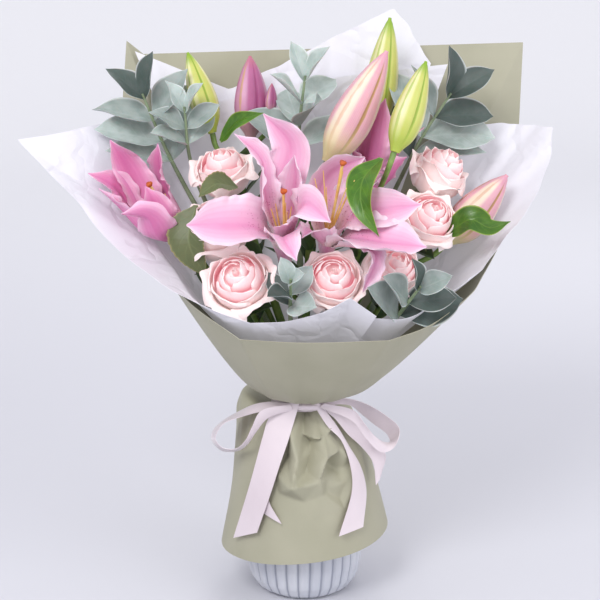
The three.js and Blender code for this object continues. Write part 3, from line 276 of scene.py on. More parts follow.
@dataclass
class Shape:
    """A mesh in the making: points in millimetres, faces and what the finishes read from each point."""

    points: list[np.ndarray] = field(default_factory=list)
    faces: list[list[int]] = field(default_factory=list)
    marks: list[np.ndarray] = field(default_factory=list)
    count: int = 0

    MARKS = ("along", "across", "tone", "side")

    def _add(self, points: np.ndarray, along: np.ndarray, across: np.ndarray, tone: float, side: int) -> int:
        """Adds points with their marks.

        Args:
            points: any grid of points.
            along: their along mark.
            across: their across mark.
            tone: their tone mark.
            side: their side mark.

        Returns:
            The first point's number.
        """
        first = self.count
        marks = np.stack(np.broadcast_arrays(along, across, tone, side), axis=-1)
        self.points.append(points.reshape(-1, 3))
        self.marks.append(marks.reshape(-1, len(self.MARKS)))
        self.count += len(self.points[-1])
        return first

    def _quads(self, numbers: np.ndarray, closed: bool) -> None:
        """Adds the faces between the rows and columns of numbered points.

        Args:
            numbers: rows by columns of point numbers.
            closed: True joins the last column to the first.
        """
        beside = np.roll(numbers, -1, axis=1)
        corners = np.stack([numbers[:-1], numbers[1:], beside[1:], beside[:-1]], axis=-1)
        self.faces += (corners if closed else corners[:, :-1]).reshape(-1, 4).tolist()

    def sheet(
        self, grid: np.ndarray, thick: float, closed: bool = False, welded: bool = False, tone: float = 0.5
    ) -> None:
        """Adds a thin solid through a grid.

        Args:
            grid: rows by columns by 3; rows run along the piece.
            thick: the thickness in millimetres.
            closed: True where the last column meets the first, as a sleeve.
            welded: True where the two faces meet in a fine edge all round, as a petal does.
            tone: a number from 0 to 1 that tells this sheet from its neighbours.
        """
        rows, columns = grid.shape[:2]
        offset = grid_normals(grid, closed) * thick / 2
        if welded:
            offset[[0, -1]] = 0
            offset[:, [0, -1]] = 0
        along = np.linspace(0, 1, rows)[:, None]
        across = np.linspace(-1, 1, columns)[None, :]
        numbers = np.arange(rows * columns).reshape(rows, columns)
        upper = numbers + self._add(grid + offset, along, across, tone, 1)
        lower = numbers + self._add(grid - offset, along, across, tone, -1)
        rims = [np.s_[0, :], np.s_[-1, ::-1]]
        if welded or not closed:
            rims += [np.s_[::-1, 0], np.s_[:, -1]]
        if welded:
            for rim in rims:
                lower[rim] = upper[rim]
            rims = []
        self._quads(upper, closed)
        self._quads(lower[:, ::-1], closed)
        for rim in rims:
            self._quads(np.stack([lower[rim], upper[rim]]), closed)

    def blade(self, grid: np.ndarray, tone: float, thick: float = LEAF_THICK) -> None:
        """Adds a petal or a leaf."""
        self.sheet(grid, thick, welded=True, tone=tone)

    def loft(self, rings: np.ndarray, tone: float = 0.5, waves: int = 1) -> None:
        """Adds a solid through closed rings, with a flat end over the first and the last one.

        Args:
            rings: rings by points by 3.
            tone: a number from 0 to 1 that tells this piece from its neighbours.
            waves: how often the across mark swings from 1 to -1 and back round a ring.
        """
        count, sides = rings.shape[:2]
        along = np.linspace(0, 1, count)[:, None]
        across = np.cos(waves * ring_angles(sides))[None, :]
        numbers = np.arange(count * sides).reshape(count, sides) + self._add(rings, along, across, tone, 1)
        self._quads(numbers[:, ::-1], closed=True)
        for i, rim in ((0, numbers[0, ::-1]), (-1, numbers[-1])):
            middle = self._add(rings[i].mean(axis=0), along[i], 0, tone, 1)
            self.faces += [[middle, a, b] for a, b in zip(rim.tolist(), np.roll(rim, -1).tolist())]

    def tube(
        self, route: Route, radii: tuple[float, ...], steps: int, sides: int, foot: np.ndarray | None = None
    ) -> None:
        """Adds a round stem along a route.

        Args:
            route: the middle of the stem.
            radii: the radius as a smooth curve along it.
            steps: how many stretches it has.
            sides: how many sides its section has.
            foot: where a straight stretch below the route starts.
        """
        angle = ring_angles(sides)[:, None]
        side = np.cross(route.heading(0), np.array([0.31, 0.95, 0.07]))
        rings = []
        for t in np.linspace(0, 1, steps + 1):
            ahead = route.heading(t)
            side = unit(side - ahead * np.dot(side, ahead))
            circle = np.cos(angle) * side + np.sin(angle) * np.cross(ahead, side)
            rings.append(route.at(t) + float(profile(radii, t)) * circle)
        if foot is not None:
            rings.insert(0, rings[0] - route.at(0) + foot)
        self.loft(np.array(rings))

    def piece(self, name: str, finish: Material, slot: str, node: str) -> None:
        """Makes the object from the points that its faces use, hangs it on the root body and hides the
        frame's node that it stands for.

        Args:
            name: the object's name.
            finish: its material.
            slot: not used.
            node: the frame's node that it stands for.
        """
        used = np.zeros(self.count, bool)
        used[[v for face in self.faces for v in face]] = True
        number = (np.cumsum(used) - 1).tolist()
        points = np.concatenate(self.points)[used] * MM
        marks = np.concatenate(self.marks)[used].astype(np.float32)
        mesh = bpy.data.meshes.new(name)
        mesh.from_pydata(points.tolist(), [], [[number[v] for v in face] for face in self.faces])
        for label, values in zip(self.MARKS, marks.T):
            layer = mesh.attributes.new(label, "FLOAT", "POINT")
            layer.data.foreach_set("value", np.ascontiguousarray(values))
        mesh.shade_smooth()
        mesh.set_sharp_from_angle(angle=math.radians(SHARP_ANGLE))
        mesh.materials.append(finish)
        piece = bpy.data.objects.new(name, mesh)
        bpy.context.scene.collection.objects.link(piece)
        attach(piece, "root")
        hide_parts(node)
        LOG.info("%s: %d faces", name, len(mesh.polygons))


# Finishes


class Tree:
    """Short ways to build a node tree."""

    def __init__(self, tree: NodeTree) -> None:
        """Keeps the tree that the nodes go into."""
        self.tree = tree

    def add(self, kind: str, settings: dict | None = None, **sockets) -> Node:
        """Adds a node.

        Args:
            kind: the node's type.
            settings: its properties by name.
            sockets: its inputs by name, with _ for a blank, or as i and a number.

        Returns:
            The node.
        """
        node = self.tree.nodes.new(kind)
        for key, value in (settings or {}).items():
            setattr(node, key, value)
        self.feed(node, **sockets)
        return node

    def feed(self, node: Node, **sockets) -> None:
        """Sets inputs of a node to values or links them to outputs.

        Args:
            node: the node.
            sockets: values or outputs by the name of the input, as in add.
        """
        for key, value in sockets.items():
            socket = node.inputs[int(key[1:]) if key[1:].isdigit() else key.replace("_", " ")]
            if isinstance(value, Socket):
                self.tree.links.new(value, socket)
            else:
                socket.default_value = value

    def math(self, operation: str, a: object, b: object = 0, c: object = 0, clamp: bool = False) -> Socket:
        """Adds a Math node and gives its output."""
        settings = {"operation": operation, "use_clamp": clamp}
        return self.add("ShaderNodeMath", settings, i0=a, i1=b, i2=c).outputs[0]

    def times(self, a: object, b: object) -> Socket:
        """Multiplies two values."""
        return self.math("MULTIPLY", a, b)

    def times_plus(self, a: object, factor: object, more: object) -> Socket:
        """Multiplies two values and adds a third."""
        return self.math("MULTIPLY_ADD", a, factor, more)

    def rest(self, value: object, clamp: bool = False) -> Socket:
        """Gives what a value leaves of 1."""
        return self.math("SUBTRACT", 1.0, value, clamp=clamp)

    def ramp(self, factor: object, low: float, high: float) -> Socket:
        """Gives 0 below low, 1 above high and a smooth rise between."""
        settings = {"interpolation_type": "SMOOTHSTEP"}
        return self.add("ShaderNodeMapRange", settings, Value=factor, From_Min=low, From_Max=high).outputs[0]

    def blend(self, factor: object, a: object, b: object) -> Socket:
        """Mixes two colours and gives the output."""
        return self.add("ShaderNodeMix", {"data_type": "RGBA"}, i0=factor, i6=a, i7=b).outputs[2]

    def shaded(self, factor: object, colour: Socket, saturation: float, value: float) -> Socket:
        """Blends a colour with a shade of itself by a factor."""
        shade = self.add("ShaderNodeHueSaturation", Saturation=saturation, Value=value, Color=colour)
        return self.blend(factor, colour, shade.outputs[0])

    def mark(self, label: str) -> Socket:
        """Reads one of the marks that the meshes carry."""
        return self.add("ShaderNodeAttribute", {"attribute_name": label}).outputs["Fac"]

    def far(self) -> Socket:
        """Gives how far a point is from the middle line of its blade, from 0 to 1."""
        return self.math("ABSOLUTE", self.mark("across"))

    def here(self) -> Socket:
        """Gives the place on the object in metres."""
        return self.add("ShaderNodeTexCoord").outputs["Object"]

    def place(self, group: NodeTree, **sockets) -> Node:
        """Places a node group with its own values."""
        return self.add("ShaderNodeGroup", {"node_tree": group}, **sockets)

    def surface(self, shader: Node, colour: Socket, height: Socket, relief: float, depth: float) -> None:
        """Feeds a shader's colour, and its normal from a height.

        Args:
            shader: the Principled shader.
            colour: its colour.
            height: the height of the bump.
            relief: the strength of the bump.
            depth: the depth of the bump in metres.
        """
        bump = self.add("ShaderNodeBump", Strength=relief, Distance=depth, Height=height)
        self.feed(shader, Base_Color=colour, Normal=bump.outputs[0])


class Effect:
    """A shared node group of plain numbers in the making."""

    def __init__(self, name: str, inputs: dict[str, float], outputs: tuple[str, ...]) -> None:
        """Starts the group.

        Args:
            name: the group's name.
            inputs: its inputs with their usual values.
            outputs: its outputs.
        """
        self.group = bpy.data.node_groups.new(name, "ShaderNodeTree")
        for label, value in inputs.items():
            self._socket(label, "INPUT").default_value = value
        for label in outputs:
            self._socket(label, "OUTPUT")
        self.tree = Tree(self.group)
        self.given = self.group.nodes.new("NodeGroupInput").outputs
        self.out = self.group.nodes.new("NodeGroupOutput")

    def _socket(self, label: str, way: str) -> bpy.types.NodeTreeInterfaceSocket:
        """Adds a plain number to what the group takes in or puts out."""
        return self.group.interface.new_socket(name=label, in_out=way, socket_type="NodeSocketFloat")

    def done(self, **outputs) -> NodeTree:
        """Links the outputs and gives the group."""
        self.tree.feed(self.out, **outputs)
        return self.group


def mottle_group() -> NodeTree:
    """Builds soft patches of light and dark, with Patch for wide ones and Grain for fine ones.

    Returns:
        The group.
    """
    effect = Effect("mottle", {"Patch size": 60.0, "Grain size": 900.0}, ("Patch", "Grain"))
    tree, given = effect.tree, effect.given
    where = tree.here()
    patch = tree.add("ShaderNodeTexNoise", Vector=where, Scale=given["Patch size"], Detail=3.0)
    grain = tree.add("ShaderNodeTexNoise", Vector=where, Scale=given["Grain size"], Detail=4.0, Roughness=0.6)
    return effect.done(Patch=tree.ramp(patch.outputs[0], 0.3, 0.7), Grain=grain.outputs[0])


def rib_group() -> NodeTree:
    """Builds ribs that run along a blade and fan out with it; Middle marks the midrib.

    Returns:
        The group.
    """
    effect = Effect("ribs", {"Count": 9.0, "Midrib width": 0.08}, ("Rib", "Middle"))
    tree, given = effect.tree, effect.given
    wave = tree.math("SINE", tree.times(tree.mark("across"), tree.times(given["Count"], math.tau)))
    middle = tree.rest(tree.math("DIVIDE", tree.far(), given["Midrib width"]), clamp=True)
    return effect.done(Rib=tree.times_plus(wave, 0.5, 0.5), Middle=middle)


def vein_group() -> NodeTree:
    """Builds a leaf's side veins, which leave the midrib at a slant and fade towards the margin.

    Returns:
        The group.
    """
    effect = Effect("side_veins", {"Count": 8.0, "Slant": 0.5, "Width": 0.18}, ("Vein",))
    tree, given = effect.tree, effect.given
    far = tree.far()
    rise = tree.times(tree.mark("along"), given["Count"])
    phase = tree.math("SUBTRACT", rise, tree.times(far, given["Slant"]))
    saw = tree.math("ABSOLUTE", tree.math("SUBTRACT", tree.math("FRACT", phase), 0.5))
    line = tree.rest(tree.math("DIVIDE", saw, given["Width"]), clamp=True)
    return effect.done(Vein=tree.times(line, tree.rest(far)))


def crease_group() -> NodeTree:
    """Builds fine creases, as in handled paper; Crease is their height.

    Returns:
        The group.
    """
    effect = Effect("creases", {"Size": 22.0, "Sharpness": 0.25}, ("Crease",))
    tree, given = effect.tree, effect.given
    where = tree.here()
    warp = tree.add("ShaderNodeTexNoise", Vector=where, Scale=30.0, Detail=2.0).outputs["Color"]
    moved = tree.add("ShaderNodeMix", {"data_type": "VECTOR"}, i0=0.06, i4=where, i5=warp).outputs[1]
    settings = {"feature": "DISTANCE_TO_EDGE"}
    cells = tree.add("ShaderNodeTexVoronoi", settings, Vector=moved, Scale=given["Size"])
    return effect.done(Crease=tree.math("DIVIDE", cells.outputs["Distance"], given["Sharpness"], clamp=True))


class Groups:
    """The node groups that the finishes share, built once."""

    def __init__(self) -> None:
        """Builds every shared group."""
        self.mottle = mottle_group()
        self.ribs = rib_group()
        self.veins = vein_group()
        self.creases = crease_group()


def start_material(name: str) -> tuple[Material, Tree, Node]:
    """Starts a material.

    Args:
        name: the material's name.

    Returns:
        The material, its tree and its Principled shader.
    """
    material = bpy.data.materials.new(name)
    material.use_nodes = True
    return material, Tree(material.node_tree), material.node_tree.nodes["Principled BSDF"]


@dataclass(frozen=True)
class Finish:
    """What every finish has: its name and how its material is made."""

    name: str

    def dress(self, tree: Tree, shader: Node, groups: Groups) -> None:
        """Feeds the shader; each kind of finish does this in its own way."""
        raise NotImplementedError

    def make(self, groups: Groups) -> Material:
        """Builds the material from the shared groups.

        Args:
            groups: the shared node groups.

        Returns:
            The material.
        """
        material, tree, shader = start_material(self.name)
        self.dress(tree, shader, groups)
        return material


@dataclass(frozen=True)
class PetalFinish(Finish):
    """A petal: colours from foot to tip and to the margin, with ribs, patches, a soft glow through it and an
    optional painted glow, an emission that stands in for light bouncing between petals.
    """

    foot: Colour
    body: Colour
    tip: Colour
    margin: Colour
    rib: Colour
    foot_from: float = 0.0
    foot_share: float = 0.25
    tip_share: float = 0.8
    margin_from: float = 0.5
    margin_amount: float = 0.6
    rib_amount: float = 0.3
    rib_count: float = 7.0
    streak_share: float = 0.22
    midrib: float = 0.12
    patch_amount: float = 0.12
    tone_amount: float = 0.16
    relief: float = 0.25
    glow: float = 0.2
    roughness: float = 0.5
    freckles: float = 0.0
    freckle: Colour = hue(0x9C2C63)
    depth: float = 0.003
    # Strength of a painted glow: an emission in the petal's own colour that stands in for light bouncing
    # between petals.
    painted_glow: float = 0.0

    def dress(self, tree: Tree, shader: Node, groups: Groups) -> None:
        """Feeds the shader.

        Args:
            tree: the material's tree.
            shader: its Principled shader.
            groups: the shared node groups.
        """
        along, far = tree.mark("along"), tree.far()
        colour = tree.blend(tree.ramp(along, self.foot_from, self.foot_share), self.foot, self.body)
        colour = tree.blend(tree.ramp(along, self.tip_share, 1.0), colour, self.tip)
        edge = tree.times(tree.ramp(far, self.margin_from, 1.0), self.margin_amount)
        colour = tree.blend(edge, colour, self.margin)
        ribs = tree.place(groups.ribs, Count=self.rib_count, Midrib_width=self.midrib).outputs
        colour = tree.blend(tree.times(ribs["Middle"], self.rib_amount), colour, self.rib)
        streak = tree.times(tree.math("POWER", ribs["Rib"], 3.0), self.rib_amount * self.streak_share)
        colour = tree.blend(streak, colour, self.rib)
        mottle = tree.place(groups.mottle, Patch_size=70.0, Grain_size=700.0).outputs
        tone = tree.times(tree.mark("tone"), self.tone_amount)
        colour = tree.shaded(tree.times_plus(mottle["Patch"], self.patch_amount, tone), colour, 1.12, 0.86)
        if self.freckles:
            colour = self._freckled(tree, colour, along, far)
        height = tree.times_plus(ribs["Rib"], 0.5, tree.times(mottle["Grain"], 0.35))
        height = tree.math("SUBTRACT", height, tree.times(ribs["Middle"], 0.8))
        tree.surface(shader, colour, height, self.relief, 0.0008)
        tree.feed(shader, Roughness=self.roughness, Sheen_Weight=0.12, Subsurface_Weight=self.glow)
        tree.feed(shader, Subsurface_Radius=(0.6, 0.3, 0.3), Subsurface_Scale=self.depth)
        # Painted glow: the petal emits its own colour, standing in for light bouncing between petals in the
        # shaded wells.
        if self.painted_glow:
            tree.feed(shader, Emission_Color=colour, Emission_Strength=self.painted_glow)

    def _freckled(self, tree: Tree, colour: Socket, along: Socket, far: Socket) -> Socket:
        """Adds dark freckles near the foot and the middle of the petal.

        Args:
            tree: the material's tree.
            colour: the petal's colour so far.
            along: the along mark.
            far: how far a point is from the middle line.

        Returns:
            The colour with its freckles.
        """
        cells = tree.add("ShaderNodeTexVoronoi", Vector=tree.here(), Scale=420.0)
        dots = tree.rest(tree.ramp(cells.outputs["Distance"], 0.12, 0.3))
        near_foot = tree.rest(tree.ramp(along, 0.3, 0.6))
        near_middle = tree.rest(tree.ramp(far, 0.35, 0.8))
        amount = tree.times(tree.times(dots, near_foot), tree.times(near_middle, self.freckles))
        return tree.blend(amount, colour, self.freckle)


@dataclass(frozen=True)
class BudFinish(Finish):
    """A closed bud, whose across mark is 1 on the middle of a tepal and -1 on a seam."""

    flank: Colour
    band: Colour
    line: Colour
    seam: Colour
    tip: Colour
    foot: Colour
    roughness: float = 0.38
    wander: float = 0.03
    ribs: float = 26.0
    glow: float = 0.15
    depth: float = 0.004

    def dress(self, tree: Tree, shader: Node, groups: Groups) -> None:
        """Feeds the shader.

        Args:
            tree: the material's tree.
            shader: its Principled shader.
            groups: the shared node groups.
        """
        along = tree.mark("along")
        mottle = tree.place(groups.mottle, Patch_size=80.0, Grain_size=600.0).outputs
        wander = tree.times_plus(mottle["Patch"], self.wander, -self.wander / 2)
        lobe = tree.math("ADD", tree.mark("across"), wander)
        colour = tree.blend(tree.ramp(lobe, 0.1, 0.8), self.flank, self.band)
        colour = tree.blend(tree.times(tree.ramp(lobe, 0.95, 0.985), 0.6), colour, self.line)
        colour = tree.blend(tree.rest(tree.ramp(lobe, -0.99, -0.9)), colour, self.seam)
        colour = tree.blend(tree.rest(tree.ramp(along, 0.02, 0.4)), colour, self.foot)
        colour = tree.blend(tree.ramp(along, 0.8, 0.98), colour, self.tip)
        colour = tree.shaded(tree.times(mottle["Patch"], 0.3), colour, 1.1, 0.85)
        ribs = tree.math("SINE", tree.times(lobe, self.ribs))
        height = tree.times_plus(ribs, 0.25, tree.times(mottle["Grain"], 0.3))
        tree.surface(shader, colour, height, 0.25, 0.0005)
        tree.feed(shader, Roughness=self.roughness, Subsurface_Weight=self.glow, Subsurface_Scale=self.depth)


@dataclass(frozen=True)
class LeafFinish(Finish):
    """A leaf: two sides, a midrib, side veins and a waxy bloom in patches."""

    top: Colour
    under: Colour
    vein: Colour
    bloom: Colour
    margin: Colour
    bloom_amount: float = 0.3
    vein_amount: float = 0.4
    vein_count: float = 8.0
    margin_amount: float = 0.7
    relief: float = 0.3
    roughness: float = 0.45
    glow: float = 0.08
    depth: float = 0.002
    shade: float = 0.75
    richness: float = 1.0

    def dress(self, tree: Tree, shader: Node, groups: Groups) -> None:
        """Feeds the shader.

        Args:
            tree: the material's tree.
            shader: its Principled shader.
            groups: the shared node groups.
        """
        colour = tree.blend(tree.ramp(tree.mark("side"), -0.5, 0.5), self.top, self.under)
        ribs = tree.place(groups.ribs, Count=1.0, Midrib_width=0.09).outputs
        veins = tree.place(groups.veins, Count=self.vein_count, Slant=2.2, Width=0.12).outputs
        line = tree.math("MAXIMUM", ribs["Middle"], tree.times(veins["Vein"], 0.7))
        colour = tree.blend(tree.times(line, self.vein_amount), colour, self.vein)
        mottle = tree.place(groups.mottle, Patch_size=90.0, Grain_size=1200.0).outputs
        colour = tree.blend(tree.times(mottle["Patch"], self.bloom_amount), colour, self.bloom)
        colour = tree.shaded(tree.mark("tone"), colour, self.richness, self.shade)
        edge = tree.times(tree.ramp(tree.far(), 0.86, 0.98), self.margin_amount)
        colour = tree.blend(edge, colour, self.margin)
        height = tree.times_plus(line, -0.8, tree.times(mottle["Grain"], 0.25))
        tree.surface(shader, colour, height, self.relief, 0.0006)
        tree.feed(shader, Roughness=self.roughness, Subsurface_Weight=self.glow, Subsurface_Scale=self.depth)


@dataclass(frozen=True)
class StemFinish(Finish):
    """A green stem or waxy thread: long streaks and small dots."""

    light: Colour
    dark: Colour
    streaks: float = 4.0
    roughness: float = 0.45
    glow: float = 0.05
    depth: float = 0.002

    def dress(self, tree: Tree, shader: Node, groups: Groups) -> None:
        """Feeds the shader.

        Args:
            tree: the material's tree.
            shader: its Principled shader.
            groups: the shared node groups.
        """
        rib = tree.place(groups.ribs, Count=self.streaks, Midrib_width=0.1).outputs["Rib"]
        mottle = tree.place(groups.mottle, Patch_size=120.0, Grain_size=1500.0).outputs
        amount = tree.times_plus(rib, 0.35, tree.times(mottle["Patch"], 0.55))
        height = tree.times_plus(rib, 0.5, mottle["Grain"])
        tree.surface(shader, tree.blend(amount, self.light, self.dark), height, 0.25, 0.0004)
        tree.feed(shader, Roughness=self.roughness, Subsurface_Weight=self.glow, Subsurface_Scale=self.depth)


class Cloth(Enum):
    """The kinds of thin sheet."""

    PAPER = "paper"
    TISSUE = "tissue"
    SATIN = "satin"


@dataclass(frozen=True)
class SheetFinish(Finish):
    """Paper, tissue or satin: grain, patches and creases; tissue also gets a painted glow, an emission that
    stands in for light passing through it.
    """

    kind: Cloth
    light: Colour
    dark: Colour
    crease_size: float
    crease_depth: float
    roughness: float
    # Strength of the tissue's painted glow, an emission standing in for light that passes through the sheet.
    painted_glow: float = 0.16

    def dress(self, tree: Tree, shader: Node, groups: Groups) -> None:
        """Feeds the shader.

        Args:
            tree: the material's tree.
            shader: its Principled shader.
            groups: the shared node groups.
        """
        mottle = tree.place(groups.mottle, Patch_size=18.0, Grain_size=1400.0).outputs
        crease = tree.place(groups.creases, Size=self.crease_size, Sharpness=0.12).outputs["Crease"]
        amount = tree.times_plus(mottle["Patch"], 0.55, tree.times(mottle["Grain"], 0.4))
        height = tree.times_plus(crease, self.crease_depth, tree.times(mottle["Grain"], 0.12))
        if self.kind is Cloth.SATIN:
            weave = tree.place(groups.ribs, Count=60.0, Midrib_width=0.01).outputs["Rib"]
            height = tree.times_plus(weave, 0.06, height)
            tree.feed(shader, Sheen_Weight=0.5, Sheen_Roughness=0.3, Anisotropic=0.4)
        if self.kind is Cloth.TISSUE:
            tree.feed(shader, Alpha=tree.times_plus(mottle["Patch"], 0.07, 0.9))
            # Painted glow: the tissue emits its pale colour, standing in for light passing through it.
            tree.feed(shader, Emission_Color=self.light, Emission_Strength=self.painted_glow)
        tree.surface(shader, tree.blend(amount, self.light, self.dark), height, 0.5, 0.0012)
        tree.feed(shader, Roughness=self.roughness)


@dataclass(frozen=True)
class GlazeFinish(Finish):
    """A glazed, wet or fibrous surface: one colour with faint patches, and painted shade that darkens the
    grooves.
    """

    light: Colour
    dark: Colour
    roughness: float
    # Painted shade: the colour that the grooves between the flutes darken towards.
    groove: Colour = (0.3, 0.33, 0.4, 1.0)
    coat: float = 0.0
    clear: float = 0.0
    relief: float = 0.1
    grain: float = 300.0

    def dress(self, tree: Tree, shader: Node, groups: Groups) -> None:
        """Feeds the shader.

        Args:
            tree: the material's tree.
            shader: its Principled shader.
            groups: the shared node groups.
        """
        mottle = tree.place(groups.mottle, Patch_size=25.0, Grain_size=self.grain).outputs
        colour = tree.blend(mottle["Patch"], self.light, self.dark)
        # Painted shade in the grooves, where the across mark nears 1, as shade falls in the flutes.
        deep = tree.times(tree.ramp(tree.mark("across"), 0.72, 0.98), 0.8)
        tree.surface(shader, tree.blend(deep, colour, self.groove), mottle["Grain"], self.relief, 0.001)
        tree.feed(shader, Roughness=self.roughness, Coat_Weight=self.coat, Transmission_Weight=self.clear)


def tints(*codes: int) -> list[Colour]:
    """Turns 0xRRGGBB colours into linear light."""
    return [hue(code) for code in codes]


LILY_LOOK = {
    "margin_from": 0.3, "margin_amount": 0.8, "rib_amount": 0.42, "rib_count": 5.0, "midrib": 0.3,
    "relief": 0.22}
DEEP_LOOK = LILY_LOOK | {"margin_from": 0.35, "margin_amount": 0.75}
ROSE_LOOK = {
    "rib_amount": 0.06, "rib_count": 9.0, "relief": 0.1, "glow": 0.12, "roughness": 0.6, "depth": 0.0007}
FINISHES = {
    "lily": PetalFinish(
        "lily_petal", *tints(0xF5EAE0, 0xE0A9C6, 0xE8B2CF, 0xF4E0EB, 0xCE649F),
        foot_share=0.42, freckles=0.9, **LILY_LOOK),
    "lily_deep": PetalFinish(
        "lily_petal_deep", *tints(0xE8B8D0, 0xD680AF, 0xE098BF, 0xEDC6DB, 0xC45695),
        foot_share=0.35, freckles=0.4, **DEEP_LOOK),
    # The roses' emission strengths are a painted glow that lightens the shaded wells between the petals,
    # stronger in the heart.
    "rose": PetalFinish(
        "rose_petal", *tints(0xF8EAD9, 0xFAE4E2, 0xFBE9E7, 0xFCF0EE, 0xF4D6D5),
        foot_share=0.4, tip_share=0.7, margin_amount=0.5, painted_glow=0.06, **ROSE_LOOK),
    "rose_heart": PetalFinish(
        "rose_petal_heart", *tints(0xF09DAB, 0xFADADC, 0xFBE6E6, 0xFCEEED, 0xF4CDD1),
        foot_from=0.4, foot_share=0.8, tip_share=0.85, painted_glow=0.11, **ROSE_LOOK),
    "bud_green": BudFinish(
        "lily_bud_green", *tints(0xC4C86C, 0xDDDAA4, 0x8FAA34, 0x8FA63A, 0x86A92C, 0xB0C252)),
    "bud_pink": BudFinish(
        "lily_bud_pink", *tints(0xDCA6B2, 0xE8D7C4, 0xCFA184, 0xB0875A, 0xD99DB0, 0xE2D6A2)),
    "bud_rose": BudFinish(
        "lily_bud_rose", *tints(0xB66893, 0xC78FAD, 0xC2A05A, 0xA85482, 0xBB7086, 0xC79AA2)),
    "silver": LeafFinish(
        "silver_leaf", *tints(0xA2B1AB, 0xB8C3BF, 0xC9D2CF, 0xC2CCC9, 0xD8DEDC),
        bloom_amount=0.7, vein_count=7.0, roughness=0.55, shade=0.2, richness=1.9),
    "green_leaf": LeafFinish(
        "green_leaf", *tints(0x39650E, 0x6F9040, 0x7FA33C, 0x5F8C1C, 0x96A94A),
        bloom_amount=0.5, roughness=0.3),
    # Partly the low leaves' own green, partly painted shade: darkened to fill the shaded inside of the
    # wrapping.
    "shade_dark_leaf": LeafFinish(
        "shade_dark_leaf", *tints(0x2E4F22, 0x5C7748, 0x4F7339, 0x3F6630, 0x55753F), roughness=0.4),
    "rose_leaf": LeafFinish(
        "rose_leaf", *tints(0x5E6840, 0x8A956B, 0x8A9466, 0x757C50, 0x8E8456), vein_count=7.0),
    "stem": StemFinish("green_stem", *tints(0x86A350, 0x4F7030)),
    "silver_stem": StemFinish("silver_stem", *tints(0x93A482, 0x6B7A5E)),
    "thread": StemFinish("stamen_thread", *tints(0xEFD486, 0xD99F3C), roughness=0.4),
    "stigma": StemFinish("stigma", *tints(0xD46A22, 0x9A3F12), roughness=0.5),
    "paper": SheetFinish("wrapping_paper", Cloth.PAPER, *tints(0xAAA793, 0x9C9A85), 9.0, 0.1, 0.58),
    "tissue": SheetFinish("white_tissue", Cloth.TISSUE, *tints(0xDCDBE2, 0xD3D1DA), 14.0, 1.6, 0.55),
    "satin": SheetFinish("satin_ribbon", Cloth.SATIN, *tints(0xDFD3D9, 0xD3C6CD), 14.0, 0.1, 0.36),
    # The glaze's groove colour is painted shade for the pot's flutes.
    "glaze": GlazeFinish("white_glaze", *tints(0xD3D5DC, 0xC3C6D0), 0.3, groove=hue(0x9195A5), coat=0.3),
    "water": GlazeFinish("pot_water", *tints(0xE6F2F4, 0xD6E8EA), 0.04, clear=0.9),
    "twine": GlazeFinish("stem_twine", *tints(0xB99B6C, 0x8F744B), 0.8, relief=0.8, grain=1800.0),
}


class Wardrobe:
    """Makes each finish the first time that it is asked for."""

    def __init__(self) -> None:
        """Starts with the shared groups and no material."""
        self.groups = Groups()
        self.made: dict[str, Material] = {}

    def get(self, name: str) -> Material:
        """Gives the material of a finish.

        Args:
            name: its name in FINISHES.

        Returns:
            The material.
        """
        if name not in self.made:
            self.made[name] = FINISHES[name].make(self.groups)
        return self.made[name]


# Wrapping


class Edge(Enum):
    """How a stretch of a sheet's border runs from corner to corner."""

    STRAIGHT = "straight"
    CURVED = "curved"


def border(start: Point, stretches: tuple, fine: int) -> np.ndarray:
    """Spreads points along the border of a sheet.

    Args:
        start: its first corner.
        stretches: for each one its plain steps, how it runs and the corners that follow.
        fine: how many points stand for a plain step.

    Returns:
        The points, with the last corner.
    """
    points = []
    for steps, edge, *corners in stretches:
        count = steps * fine
        points.append(Route([start, *corners], edge is Edge.CURVED).at(np.arange(count) / count))
        start = corners[-1]
    return np.concatenate([*points, np.array([start], float)])


@dataclass(frozen=True)
class TissueSheet:
    """One sheet of tissue: its name, its radius at the waist and its free border."""

    name: str
    waist_r: float
    start: Point
    stretches: tuple


